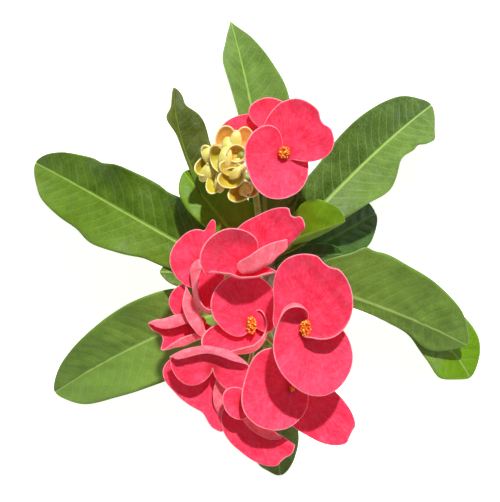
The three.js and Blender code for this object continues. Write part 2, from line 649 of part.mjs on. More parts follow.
// Adds a piece, cut back from the pieces before it. Crumbs left by a cut are dropped.
function addPiece(name, color, roughness, make) {
  const whole = make(0);
  const box = whole.boundingBox();
  let solid = whole;
  for (const [otherBox, other] of earlier) {
    if (!apart(box, otherBox)) solid = solid.subtract(other);
  }
  const bodies = solid.simplify(0.03).decompose().sort((a, b) => b.volume() - a.volume());
  const { vertProperties, triVerts } = bodies[0].getMesh();
  const bigger = make(seatGap).add(whole); // with the whole, as a tight fold can grow into itself
  earlier.push([bigger.boundingBox(), bigger]);
  const geometry = new THREE.BufferGeometry();
  geometry.setAttribute("position", new THREE.Float32BufferAttribute(vertProperties, 3));
  geometry.setIndex(Array.from(triVerts));
  geometry.computeVertexNormals();
  const material = new THREE.MeshStandardMaterial({ color, roughness, metalness: 0 });
  const mesh = new THREE.Mesh(geometry, material);
  mesh.name = name;
  shoot.add(mesh);
}

addPiece("stem", 0x8a7a5e, 0.85, stem);
for (const [name, branches] of Object.entries(stalks)) {
  addPiece(name, 0x9aa850, 0.6, (grow) => stalk(branches, grow));
}
for (const [name, flower] of Object.entries(flowers)) {
  addPiece(`${name}_centre`, 0xf0721c, 0.5, (grow) => centre(flower.centre, grow));
}
for (const [name, flower] of Object.entries(flowers)) {
  for (const side of ["bract_a", "bract_b"]) {
    addPiece(`${name}_${side}`, 0xf6456a, 0.6, (grow) => bract(flower[side], grow));
  }
}
for (const [name, flower] of Object.entries(youngFlowers)) {
  addPiece(name, 0xe3cf62, 0.55, (grow) => young(flower, grow));
}
for (const [name, leaf] of Object.entries(leaves)) {
  addPiece(name, 0x6b943f, 0.5, (grow) => leafSolid(leaf, grow));
}

export default shoot;
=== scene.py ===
import math

import bpy
import numpy as np
from mathutils import Matrix, Vector


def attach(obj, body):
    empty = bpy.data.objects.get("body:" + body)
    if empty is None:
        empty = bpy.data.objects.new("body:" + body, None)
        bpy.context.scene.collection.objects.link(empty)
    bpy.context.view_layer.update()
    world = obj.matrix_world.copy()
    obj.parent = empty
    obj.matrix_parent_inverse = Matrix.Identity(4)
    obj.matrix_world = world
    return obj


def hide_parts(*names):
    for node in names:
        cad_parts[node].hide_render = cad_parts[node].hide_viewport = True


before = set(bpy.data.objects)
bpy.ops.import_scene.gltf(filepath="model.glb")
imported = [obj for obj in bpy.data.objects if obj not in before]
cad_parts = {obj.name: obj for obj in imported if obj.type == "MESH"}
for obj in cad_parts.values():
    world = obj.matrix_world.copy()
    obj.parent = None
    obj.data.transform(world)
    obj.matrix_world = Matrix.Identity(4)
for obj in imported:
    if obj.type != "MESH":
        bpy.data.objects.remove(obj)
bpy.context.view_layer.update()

# A cut flowering shoot of crown of thorns. Tables are in mm and degrees, meshes in metres.
mm = 0.001
placeOnSurface = np.array([-0.3, 0.3, -0.1])  # centres the shoot over the origin
# Node settings that are used again and again
multiply, multiplyAdd = {"operation": "MULTIPLY"}, {"operation": "MULTIPLY_ADD"}
smoothStep, inColor = {"interpolation_type": "SMOOTHSTEP"}, {"data_type": "RGBA"}


# sRGB hex to the linear colour that nodes take
def linear(hexColor):
    channels = [int(hexColor[k:k + 2], 16) / 255 for k in (1, 3, 5)]
    return [c / 12.92 if c <= 0.04045 else ((c + 0.055) / 1.055) ** 2.4 for c in channels] + [1.0]


# Adds a node. A value that is a node or a socket is linked, any other value is set.
def addNode(tree, kind, settings=None, values=None):
    node = tree.nodes.new(kind)
    for name, value in (settings or {}).items():
        setattr(node, name, value)
    for key, value in (values or {}).items():
        if isinstance(value, bpy.types.Node):
            value = value.outputs[0]
        if isinstance(value, bpy.types.NodeSocket):
            tree.links.new(value, node.inputs[key])
        else:
            node.inputs[key].default_value = value
    return node


# The value at t (0 .. last index) of a smooth curve through evenly spaced values
def smooth(values, t):
    values = np.asarray(values, float)
    last = len(values) - 1
    i = np.clip(np.floor(t).astype(int), 0, last - 1)
    f = t - i
    a, b, c, d = (values[np.clip(i + k, 0, last)] for k in (-1, 0, 1, 2))
    return b + 0.5 * f * (c - a + f * (2 * a - 5 * b + 4 * c - d + f * (3 * (b - c) + d - a)))


# 0 below low, 1 above high, smooth between
def ramp(low, high, x):
    t = np.clip((x - low) / (high - low), 0, 1)
    return t * t * (3 - 2 * t)


def unit(vectors):
    return vectors / np.maximum(np.linalg.norm(vectors, axis=-1, keepdims=True), 1e-12)


# Smooth random waves over x and y, about -1 .. 1, the same each run
def wavy(x, y, size, seed):
    random = np.random.default_rng(seed)
    total = np.zeros(np.broadcast(x, y).shape)
    for _ in range(7):
        turn, shift = random.uniform(0, 2 * math.pi, 2)
        stretch = 2 * math.pi / size * random.uniform(0.6, 1.5)
        total += np.sin(stretch * (x * math.cos(turn) + y * math.sin(turn)) + shift)
    return total / 3.2


# Points, faces and fields of a closed sheet round a grid of points. over and under: how far its
# two faces lie from the grid. With isFan the first row is one point.
def sheet(grid, over, under, fields, isFan=False):
    rows, columns = grid.shape[:2]
    normal = unit(np.cross(np.gradient(grid, axis=0), np.gradient(grid, axis=1)))
    if isFan:
        normal[0] = unit(normal[1].sum(axis=0))
    top = (grid + normal * over[..., None]).reshape(-1, 3)
    below = (grid - normal * under[..., None]).reshape(-1, 3)
    index = np.arange(rows * columns).reshape(rows, columns)
    if isFan:
        index[0, :] = 0
    low = index + rows * columns
    quads = [
        np.stack([index[:-1, :-1], index[1:, :-1], index[1:, 1:], index[:-1, 1:]], -1),
        np.stack([low[:-1, :-1], low[:-1, 1:], low[1:, 1:], low[1:, :-1]], -1),
        np.stack([index[:-1, 0], low[:-1, 0], low[1:, 0], index[1:, 0]], -1),
        np.stack([index[:-1, -1], index[1:, -1], low[1:, -1], low[:-1, -1]], -1),
        np.stack([index[-1, :-1], low[-1, :-1], low[-1, 1:], index[-1, 1:]], -1),
    ]
    if not isFan:
        quads.append(np.stack([index[0, :-1], index[0, 1:], low[0, 1:], low[0, :-1]], -1))
    faces = []
    for face in np.concatenate([q.reshape(-1, 4) for q in quads]).tolist():
        corners = [c for k, c in enumerate(face) if c != face[k - 1]]
        if len(corners) > 2:
            faces.append(corners)
    both = {name: np.concatenate([field.ravel(), field.ravel()]) for name, field in fields.items()}
    both["topSide"] = np.repeat([1.0, 0.0], rows * columns)
    return np.concatenate([top, below]), faces, both


def addObject(name, data):
    item = bpy.data.objects.new(name, data)
    bpy.context.scene.collection.objects.link(item)
    return item


# Stores one value, or one direction, for each point of a mesh
def addField(mesh, name, values, kind="FLOAT"):
    layer = mesh.attributes.new(name, kind, "POINT")
    key = "vector" if kind == "FLOAT_VECTOR" else "value"
    layer.data.foreach_set(key, np.asarray(values, np.float32).ravel())


# One mesh from several parts. Points that no face uses are left out.
def meshFrom(name, parts, materials, material=None):
    points, faces, slots = [], [], []
    fields = {key: [] for part in parts for key in part[2]}
    start = 0
    for k, (somePoints, someFaces, someFields) in enumerate(parts):
        used = np.unique([c for face in someFaces for c in face])
        place = np.full(len(somePoints), -1)
        place[used] = np.arange(len(used)) + start
        points.append(somePoints[used])
        faces += [[int(place[c]) for c in face] for face in someFaces]
        slots += [material[k] if material else 0] * len(someFaces)
        for key in fields:
            values = someFields.get(key, np.zeros(len(somePoints)))
            fields[key].append(np.broadcast_to(values, len(somePoints))[used])
        start += len(used)
    mesh = bpy.data.meshes.new(name)
    mesh.from_pydata((np.concatenate(points) * mm).tolist(), [], faces)
    for key, values in fields.items():
        addField(mesh, key, np.concatenate(values))
    for item in materials:
        mesh.materials.append(item)
    mesh.polygons.foreach_set("material_index", slots)
    mesh.polygons.foreach_set("use_smooth", [True] * len(faces))
    mesh.update()
    return mesh


# Puts a finished mesh in the scene in place of its CAD node
def addPiece(name, mesh, node):
    piece = addObject(name, mesh)
    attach(piece, "root")
    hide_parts(node)


# A new material, its tree, and what the points of its mesh carry under those keys
def newMaterial(name, *keys):
    material = bpy.data.materials.new(name)
    material.use_nodes = True
    tree = material.node_tree
    tree.nodes.clear()
    carried = [addNode(tree, "ShaderNodeAttribute", {"attribute_name": key}) for key in keys]
    return material, tree, {key: node.outputs["Fac"] for key, node in zip(keys, carried)}


# Ends a material with its shader
def withShader(material, values):
    skin = addNode(material.node_tree, "ShaderNodeBsdfPrincipled", values=values)
    addNode(material.node_tree, "ShaderNodeOutputMaterial", values={"Surface": skin})
    return material


# How far a running phase is from the middle of its turn, 0 .. 0.5
def fromMiddle(tree, phase):
    for operation in ("FRACT", "SUBTRACT", "ABSOLUTE"):
        phase = addNode(tree, "ShaderNodeMath", {"operation": operation}, {0: phase, 1: 0.5})
    return phase


# The colour of a sheet. Each side is a base colour and what lies over it: (share, colour) each.
def sheetColor(tree, look, topSide, under, upper):
    sides = []
    for base, *layers in (under, upper):
        color = linear(look[base])
        for share, over in layers:
            color = addNode(tree, "ShaderNodeMix", inColor, {
                "Factor": share, 6: color, 7: linear(look[over])}).outputs[2]
        sides.append(color)
    return addNode(tree, "ShaderNodeMix", inColor, {
        "Factor": topSide, 6: sides[0], 7: sides[1]}).outputs[2]


# Leaf blade: living leaf skin under a wax film. The wax gives a broad soft gloss, the sunken veins
# show as paler lines above, and the underside is paler and duller.
leafLooks = {
    "deepGreen": {"dark": "#38520A", "light": "#76983C", "midrib": "#9ABA60", "under": "#7C9A50"},
    "sunGreen": {"dark": "#3A5800", "light": "#6C8C20", "midrib": "#8EB048", "under": "#7C9A50"},
    "youngGreen": {"dark": "#4A6A00", "light": "#709A04", "midrib": "#86AC28", "under": "#7C9C3C"},
    # A duller olive green
    "mutedGreen": {"dark": "#2E3C04", "light": "#72822E", "midrib": "#7C8C3C", "under": "#76863A"},
    # A darker copy of the green for leaves that lie under the others: painted shade
    "paintedShadeGreen": {"dark": "#2C4810", "light": "#426424", "midrib": "#648440", "under": "#4C6C3A"},
}
leafSkin = {
    "sideVeinWidth": 0.42,  # mm
    "netSize": 1.7,  # mm, the mesh of the finest veins, drawn a little coarse so that it shows
    "mottle": 9, "grain": 0.9,  # mm
    # How much of the midrib's colour the net, veins and midrib take, and the veins underneath
    "netShare": 0.1, "veinShare": 0.2, "midribShare": 0.9, "underShare": 0.35,
    "rimWidth": 0.4, "rimShare": 0.3,
    "relief": 0.3,  # mm, depth of the bumps
    "roughness": 0.46,
    "freshTip": "#6E9A10",  # of a tip that has just unrolled
    "freshGloss": -0.25,  # its roughness against the rest of the blade
    "shader": {"Specular IOR Level": 0.22, "Subsurface Weight": 0.12,
               "Subsurface Radius": (0.6, 1.0, 0.2), "Subsurface Scale": 0.0008},
}


def waxyLeaf(name, colors):
    material, tree, carried = newMaterial(
        name, "topSide", "ribShare", "sideVein", "veinFade", "fromLoop", "tone", "fresh", "toMargin")
    look = {**leafSkin, **colors}
    place = addNode(tree, "ShaderNodeTexCoord").outputs["Object"]
    rib = addNode(tree, "ShaderNodeMapRange", smoothStep, {
        "Value": carried["ribShare"], "From Min": 1.15, "From Max": 0.55})
    phase = addNode(tree, "ShaderNodeMath", {"operation": "ADD"}, {0: carried["sideVein"], 1: 0.5})
    fromVein = addNode(tree, "ShaderNodeMath", multiply, {
        0: fromMiddle(tree, phase), 1: veinPattern["spacing"]})
    line, loop = (addNode(tree, "ShaderNodeMapRange", smoothStep, {
        "Value": away, "From Min": look["sideVeinWidth"], "From Max": 0.1, "To Max": strength})
        for away, strength in ((fromVein, 1.0), (carried["fromLoop"], 0.7)))
    line = addNode(tree, "ShaderNodeMath", multiply, {0: line, 1: carried["veinFade"]})
    veins = addNode(tree, "ShaderNodeMath", {"operation": "MAXIMUM"}, {0: line, 1: loop})
    net = addNode(tree, "ShaderNodeTexVoronoi", {"feature": "DISTANCE_TO_EDGE"}, {
        "Vector": place, "Scale": 1000 / look["netSize"], "Randomness": 1.0})
    netLine = addNode(tree, "ShaderNodeMapRange", values={
        "Value": net.outputs["Distance"], "From Min": 0.14, "From Max": 0.0, "To Max": 1.0})
    mottle, grain = (addNode(tree, "ShaderNodeTexNoise", values={
        "Vector": place, "Scale": 1000 / look[size], "Detail": detail, "Roughness": 0.6}).outputs["Fac"]
        for size, detail in (("mottle", 4.0), ("grain", 3.0)))
    mottled = addNode(tree, "ShaderNodeMapRange", values={
        "Value": mottle, "From Min": 0.25, "From Max": 0.75, "To Min": 0.25, "To Max": 0.75})
    # Random mottle plus the carried tone of each half, which is painted light above 0 and painted shade
    # below 0
    tone = addNode(tree, "ShaderNodeMath", {"operation": "ADD", "use_clamp": True}, {
        0: mottled, 1: carried["tone"]})
    rim = addNode(tree, "ShaderNodeMapRange", values={
        "Value": carried["toMargin"], "From Min": look["rimWidth"], "From Max": 0.1,
        "To Max": look["rimShare"]})
    netted, veined, ribbed, underVeined = (
        addNode(tree, "ShaderNodeMath", multiply, {0: amount, 1: look[share]}) for amount, share in
        ((netLine, "netShare"), (veins, "veinShare"), (rib, "midribShare"), (veins, "underShare")))
    color = sheetColor(tree, look, carried["topSide"], ("under", (underVeined, "midrib")), (
        "dark", (tone, "light"), (carried["fresh"], "freshTip"),
        *((share, "midrib") for share in (netted, veined, ribbed, rim))))
    rough = addNode(tree, "ShaderNodeMapRange", values={
        "Value": mottle, "From Min": 0.3, "From Max": 0.7,
        "To Min": look["roughness"] - 0.05, "To Max": look["roughness"] + 0.1})
    rough = addNode(tree, "ShaderNodeMath", multiplyAdd, {
        0: carried["fresh"], 1: look["freshGloss"], 2: rough})
    high = addNode(tree, "ShaderNodeMath", multiplyAdd, {0: netLine, 1: -0.5, 2: grain})
    bump = addNode(tree, "ShaderNodeBump", values={
        "Height": high, "Strength": 0.25, "Distance": look["relief"] * mm})
    return withShader(material, {
        "Base Color": color, "Roughness": rough, "Normal": bump, **look["shader"]})


# Bract: thin petal-like leaf. Light passes through it, so its shadows stay red, and its velvety
# cells give a dull pale sheen. Its underside is paler. Its pale rim is partly the thin edge's own
# colour and partly a painted highlight.
bractLook = {
    # rim: partly the thin edge's own paler pink, partly a painted highlight
    "body": "#FF3460", "deep": "#F81848", "pale": "#FF6884", "rim": "#FFA6B2", "under": "#FF6478",
    "foot": "#C80420",
    "rimWidth": 0.34,  # mm
    "footReach": 4.5,  # mm, how far the dark red runs out from the foot
    "veinCount": 64,  # round the whole bract
    "cloud": 7,  # mm, the soft paler and deeper patches
    "mottle": 1.6,  # mm
    # How strong the pale flecks, the veins, the dark foot and the rim are
    "fleckShare": 0.42, "veinShare": 0.16, "footShare": 0.75, "rimShare": 0.85,
    "relief": 0.25,  # mm, depth of the bumps
    "shader": {"Roughness": 0.7, "Subsurface Weight": 0.35, "Subsurface Radius": (1.0, 0.1, 0.18),
               "Subsurface Scale": 0.0012, "Specular IOR Level": 0.35, "Sheen Weight": 0.2,
               "Sheen Roughness": 0.5},
}


def velvetBract(name, look):
    material, tree, carried = newMaterial(name, "topSide", "fromFoot", "veinTurn", "toMargin")
    place = addNode(tree, "ShaderNodeTexCoord").outputs["Object"]
    cloud, mottle = (addNode(tree, "ShaderNodeTexNoise", values={
        "Vector": place, "Scale": 1000 / look[size], "Detail": detail,
        "Roughness": rough}).outputs["Fac"]
        for size, detail, rough in (("cloud", 3.0, 0.55), ("mottle", 5.0, 0.7)))
    clouded = addNode(tree, "ShaderNodeMapRange", values={
        "Value": cloud, "From Min": 0.34, "From Max": 0.66})
    # Streaks that run outward from the foot
    outward = addNode(tree, "ShaderNodeMath", multiply, {0: carried["fromFoot"], 1: 0.12})
    along = addNode(tree, "ShaderNodeCombineXYZ", values={"X": carried["veinTurn"], "Y": outward})
    streak = addNode(tree, "ShaderNodeTexNoise", values={
        "Vector": along, "Scale": 0.55, "Detail": 4.0, "Roughness": 0.6, "Distortion": 0.3})
    uneven = addNode(tree, "ShaderNodeMath", multiplyAdd, {0: streak.outputs["Fac"], 1: 0.6, 2: mottle})
    flecks = addNode(tree, "ShaderNodeMapRange", values={
        "Value": uneven, "From Min": 0.72, "From Max": 1.0, "To Max": look["fleckShare"]})
    turn = addNode(tree, "ShaderNodeMath", multiplyAdd, {0: cloud, 1: 4.0, 2: carried["veinTurn"]})
    rimNoise = addNode(tree, "ShaderNodeMath", multiplyAdd, {
        0: mottle, 1: -0.4, 2: carried["toMargin"]})
    # The pale rim is partly the thin edge's own colour and partly a painted highlight
    vein, foot, rim = (addNode(tree, "ShaderNodeMapRange", smoothStep, {
        "Value": value, "From Min": low, "From Max": high, "To Max": look[share]})
        for value, low, high, share in (
            (fromMiddle(tree, turn), 0.2, 0.0, "veinShare"),
            (carried["fromFoot"], look["footReach"], 0.8, "footShare"),
            (rimNoise, look["rimWidth"] - 0.1, -0.2, "rimShare")))
    color = sheetColor(tree, look, carried["topSide"], ("under", (flecks, "rim"), (rim, "rim")), (
        "deep", (clouded, "body"), (flecks, "pale"), (vein, "pale"), (foot, "foot"), (rim, "rim")))
    high = addNode(tree, "ShaderNodeMath", multiplyAdd, {0: vein, 1: -2.0, 2: uneven})
    bump = addNode(tree, "ShaderNodeBump", values={
        "Height": high, "Strength": 0.4, "Distance": look["relief"] * mm})
    return withShader(material, {"Base Color": color, "Normal": bump, **look["shader"]})


# Green skin of stalks, bark, horny thorns, cut wood, and the moist glands, cup and pollen: each is
# patchy between two colours. size: of the patches in mm. depth: of the bumps in mm.
fleshLooks = {
    "stalkSkin": {"low": "#6E8C28", "high": "#A8B858", "size": 4, "roughness": 0.5, "depth": 0.15},
    "bark": {"low": "#4C4030", "high": "#9A8C70", "size": 2.4, "roughness": 0.9, "depth": 0.6},
    "thornHorn": {"low": "#5A4632", "high": "#A08868", "size": 3, "roughness": 0.45, "depth": 0.1},
    "cutWood": {"low": "#A8B070", "high": "#DCD8A8", "size": 1.2, "roughness": 0.8, "depth": 0.3},
    "gland": {"low": "#F05C0C", "high": "#FF9C30", "size": 0.9, "roughness": 0.25, "depth": 0.05},
    "cup": {"low": "#D03410", "high": "#F87828", "size": 1.1, "roughness": 0.4, "depth": 0.1},
    "pollen": {"low": "#E8A018", "high": "#FFD860", "size": 0.5, "roughness": 0.8, "depth": 0.1},
}


def fleshySkin(name, look):
    material, tree, _ = newMaterial(name)
    place = addNode(tree, "ShaderNodeTexCoord").outputs["Object"]
    patches = addNode(tree, "ShaderNodeTexNoise", values={
        "Vector": place, "Scale": 1000 / look["size"], "Detail": 6.0, "Roughness": 0.65}).outputs["Fac"]
    share = addNode(tree, "ShaderNodeMapRange", values={
        "Value": patches, "From Min": 0.32, "From Max": 0.68})
    color = addNode(tree, "ShaderNodeMix", inColor, {
        "Factor": share, 6: linear(look["low"]), 7: linear(look["high"])}).outputs[2]
    bump = addNode(tree, "ShaderNodeBump", values={
        "Height": patches, "Strength": 0.6, "Distance": look["depth"] * mm})
    return withShader(material, {"Base Color": color, "Roughness": look["roughness"], "Normal": bump})


# Young bract: fleshy, opaque, olive or tan inside and cream outside, with a thick pale lip. The olive
# of its inside is the cream painted darker: painted shade in the hollow.
youngLook = {
    # inside: olive, darker than the outside, as painted shade in the hollow
    "inside": "#C0AE24", "tan": "#D8803C", "tint": "#DCCC52", "outside": "#E6DC7C", "shade": "#B8B448",
    # lip: paler, partly the lip's own colour and partly a painted highlight along its rounded rim
    "lip": "#F2EAA8",
    "mottle": 2.5, "lipWidth": 0.5, "relief": 0.2,  # mm
    "shader": {"Roughness": 0.45, "Subsurface Weight": 0.25, "Subsurface Radius": (1.0, 0.8, 0.3),
               "Subsurface Scale": 0.001},
}


def youngBract(name, look):
    material, tree, carried = newMaterial(name, "topSide", "tone", "toMargin")
    place = addNode(tree, "ShaderNodeTexCoord").outputs["Object"]
    mottle = addNode(tree, "ShaderNodeTexNoise", values={
        "Vector": place, "Scale": 1000 / look["mottle"], "Detail": 3.0,
        "Roughness": 0.6}).outputs["Fac"]
    mottled = addNode(tree, "ShaderNodeMapRange", values={
        "Value": mottle, "From Min": 0.3, "From Max": 0.7, "To Max": 0.6})
    # The pale lip: partly its own colour, partly a painted highlight
    lip = addNode(tree, "ShaderNodeMapRange", smoothStep, {
        "Value": carried["toMargin"], "From Min": look["lipWidth"], "From Max": 0.1, "To Max": 0.8})
    color = sheetColor(tree, look, carried["topSide"], ("outside", (mottled, "shade")), (
        "inside", (carried["tone"], "tan"), (mottled, "tint")))
    lipped = addNode(tree, "ShaderNodeMix", inColor, {
        "Factor": lip, 6: color, 7: linear(look["lip"])}).outputs[2]
    bump = addNode(tree, "ShaderNodeBump", values={
        "Height": mottle, "Strength": 0.3, "Distance": look["relief"] * mm})
    return withShader(material, {"Base Color": lipped, "Normal": bump, **look["shader"]})


# Leaves. spine: control points of the midrib. left, right: half widths at every eighth of it.
# pointed: 0.5 is a round tip, 1 a sharp one. fold: how far each half rises from flat. curl: how much
# more it rises to its edge. waves: [height in mm, how many, where they start] of each margin. dents:
# where a half is narrower: [half, share of the midrib, mm, spread]. tone: how much lighter a half is
# painted: painted light above 0, painted shade below 0.
# freshFrom: where on the midrib the new tip starts.
plainLeaf = {
    "pointed": 0.5, "foldLeft": 8, "foldRight": 8, "curl": 10,
    "wavesLeft": [0.7, 3, 0.2], "wavesRight": [0.7, 3, 0.7], "look": "deepGreen",
    "paintedShadingLeft": 0, "paintedShadingRight": 0, "freshFrom": 2, "dents": [],
}
# A half's tone above 0 is painted light, below 0 painted shade
leaves = {
    "01": {
        "spine": [[3.5, -0.5, 42.5], [4, 28.5, 50], [-3.5, 64.5, 30], [-10.5, 92.5, 0.7]],
        "left": [1, 6.5, 7.5, 7.5, 7.5, 9, 10, 5.5],
        "right": [1.2, 10, 14, 15, 15.5, 15, 11.5, 6.5],
        "pointed": 0.9, "foldLeft": 40,
    },
    "02": {
        "spine": [[0, -2, 38], [-20, 10, 44], [-32, 42, 46], [-31.6, 60.8, 38]],
        "left": [1, 2, 3, 3, 2, 1.5, 2, 2],
        "right": [1, 5, 8, 9.5, 10, 10.2, 10.2, 6.2],
        "pointed": 0.5, "foldLeft": 62, "foldRight": 5, "curl": 0, "look": "mutedGreen",
        "paintedShadingLeft": -0.1, "paintedShadingRight": -0.25,
        "dents": [["left", 0.795, -5, 0.055], ["right", 0.88, 1.6, 0.05]],
    },
    "03": {
        "spine": [[-1, -2, 41.5], [-8, 2.5, 48], [-16.5, 15, 49], [-27.5, 28.5, 42]],
        "left": [1, 2.5, 4, 5, 6, 7.5, 8, 7],
        "right": [1, 9, 13, 13.5, 12.5, 11, 9.5, 7.5],
        "look": "youngGreen",
    },
    "04": {
        "spine": [[-1, -12.5, 34], [-25, -2.5, 42], [-61, 20.5, 28], [-90, 34.5, 0.7]],
        "left": [1, 4, 8, 12, 15, 17.5, 15.5, 12],
        "right": [1, 7, 12, 15.5, 16.5, 15.5, 13.5, 10],
        # The right, upper half is painted darker: painted shade where it tilts away from the light
        "foldLeft": 6, "paintedShadingLeft": 0.1, "paintedShadingRight": -0.3, "look": "sunGreen",
        "wavesLeft": [1.8, 3, 0.6], "wavesRight": [3.2, 3.2, 0.1],
        "dents": [["right", 0.72, 1.2, 0.04], ["right", 0.47, 1, 0.05], ["left", 0.7, 1, 0.05],
                  ["left", 0.43, 1.2, 0.05]],
    },
    "05": {
        "spine": [[-1.5, -16, 30], [-12, -11, 35.5], [-23.5, -9, 36.5], [-37.2, -9.5, 34.5]],
        "left": [1, 5, 8, 9, 9, 8, 6.5, 5],
        "right": [1, 5, 8, 9, 9, 8, 6.5, 5],
        "foldRight": -14,
    },
    "06": {
        "spine": [[-1, -22, 26], [-21.5, -25, 36], [-56.5, -41, 22], [-82, -59, 0.7]],
        "left": [1, 9.5, 14, 16.5, 18, 17, 15, 12],
        "right": [1, 6, 11.5, 15.5, 16.5, 15.5, 13, 9],
        "paintedShadingLeft": 0.65, "paintedShadingRight": 0.28,
    },
    "07": {
        "spine": [[2, -27.5, 25], [3.5, -43.5, 32], [7, -73, 14], [10, -93, 0.7]],
        "left": [1, 3.5, 5.5, 7.5, 8.5, 9.5, 9.5, 7],
        "right": [1, 9, 12, 12.5, 11, 10.5, 10.5, 8.5],
    },
    "08": {
        "spine": [[5, -8, 36], [23.5, -14.5, 43], [55.5, -23.8, 29.5], [84.3, -39, 12]],
        "left": [1, 4, 8.5, 15.5, 20, 18.8, 16.8, 12.5],
        "right": [1, 3.5, 5, 5, 4.5, 5, 6, 9],
        "foldLeft": 6, "foldRight": -24, "paintedShadingLeft": 0.2, "paintedShadingRight": 0.2,
        "dents": [["left", 0.42, -2, 0.035]],
    },
    "09": {
        "spine": [[4.5, -17.5, 24], [35, -17, 34], [74, -27, 13.5], [87.3, -53.2, 0.7]],
        "left": [1, 5, 8.5, 11, 13, 14, 14, 12.5],
        "right": [1, 1.5, 2, 2.8, 4.4, 6, 10, 11.5],
        "foldLeft": -15, "paintedShadingLeft": 0.3, "paintedShadingRight": 0.4, "freshFrom": 0.82,
    },
    "10": {
        "spine": [[6, -3.5, 40], [18, 8, 52], [41.5, 35.5, 40], [71.5, 58, 0.7]],
        "left": [1, 6, 9, 11.5, 12.5, 14.5, 14.5, 12],
        "right": [1, 4, 6.5, 9, 12, 14.6, 9, 11.3],
        # The left half is painted darker: painted shadow cast by the flowers above it
        "paintedShadingLeft": -0.4, "paintedShadingRight": 0,
        "dents": [["right", 0.83, 1.4, 0.02], ["right", 0.895, -1.2, 0.022]],
    },
    "11": {
        "spine": [[6, -5.5, 36], [18.5, -3, 40], [34, 6, 28], [47.5, 13.5, 15]],
        "left": [1, 5, 8, 10.5, 11.5, 12, 12, 12],
        "right": [1, 3.5, 5.5, 8, 9, 10, 10, 7],
        # its darker green is painted shade
        "look": "paintedShadeGreen",
    },
    "12": {
        "spine": [[4.5, -1, 43], [13, 2.5, 54], [22.5, 6, 56], [33, 9.6, 50]], "pointed": 0.4,
        "left": [1, 3, 5.5, 8, 10, 12, 11.5, 8.5],
        "right": [1, 3, 5, 6, 6.5, 6.5, 5.5, 3.5],
        "foldRight": -75, "look": "youngGreen",
    },
    "13": {
        "spine": [[5, -5, 39.5], [13.5, -4, 43], [23, -3, 41], [33, -2.5, 34.5]],
        "left": [1.5, 2.5, 3.5, 4, 4.5, 4.5, 4.5, 3.5],
        "right": [1.5, 4, 5.5, 6, 6, 5.5, 5, 3.5],
        # its darker green is painted shade
        "look": "paintedShadeGreen",
    },
}
veinPattern = {
    "spacing": 5.0,  # mm between side veins
    "slant": 0.62,  # how far a side vein runs forward for each mm outward
    "bend": 0.022,  # how much more for each mm further out
    "quilt": 0.17,  # mm, how far the blade bulges between them
    "groove": 0.15,  # mm, depth of the midrib
    "ribHalf": 0.95,  # mm, half width of the midrib at the foot
    "thickness": 0.55,  # mm, of the blade
    "keel": 0.9,  # mm, how far the midrib stands out beneath
    "petiole": 0.75,  # mm, how much thicker the foot is
    "thinRim": 0.7,  # mm, over which the blade thins to its margin
    "loopAt": 0.8, "loopWave": 0.07,  # where side veins join, as a share of the half width
    # [height, size in mm]: how side veins sway, small dimples and broad billows
    "sway": [0.12, 22], "dimples": [0.1, 6], "billows": [0.55, 24],
    "rows": 200, "columns": 61,  # points along and across a blade
}


def bezier(points, u):
    a, b, c, d = (np.array(p, float) for p in points)
    u = u[:, None]
    on = a * (1 - u) ** 3 + 3 * b * u * (1 - u) ** 2 + 3 * c * u * u * (1 - u) + d * u ** 3
    along = 3 * ((b - a) * (1 - u) ** 2 + 2 * (c - b) * u * (1 - u) + (d - c) * u * u)
    return on, unit(along)


# Half width of a leaf at u (0 .. 1). Its power is what runs smoothly, so that the tip closes.
def halfWidth(stations, pointed, u):
    powers = np.array([*stations, 0.0]) ** (1 / pointed)
    return np.maximum(smooth(powers, u * 8), 1e-6) ** pointed


def leafGrid(p, u, v):
    on, along = bezier(p["spine"], u)
    side = unit(np.cross([0.0, 0.0, 1.0], along))
    upper = np.cross(along, side)
    isLeft = (v > 0)[None, :]
    h = np.where(isLeft, *(halfWidth(p[half], p["pointed"], u)[:, None] for half in ("left", "right")))
    for half, at, depth, spread in p["dents"]:
        dent = depth * np.exp(-((u - at) / spread) ** 2)[:, None]
        h = h - np.where(isLeft == (half == "left"), dent, 0)
    h = np.maximum(h, 0.02) * np.abs(v)[None, :]
    fold = np.radians(np.where(isLeft, p["foldLeft"], p["foldRight"])) * np.clip(u * 4, 0, 1)[:, None]
    turn = np.radians(p["curl"]) * np.abs(v)[None, :] + 1e-4
    out = h * (np.sin(fold + turn) - np.sin(fold)) / turn
    rise = h * (np.cos(fold) - np.cos(fold + turn)) / turn
    grid = on[:, None] + side[:, None] * np.where(isLeft, out, -out)[..., None]
    return grid + upper[:, None] * rise[..., None], h, upper


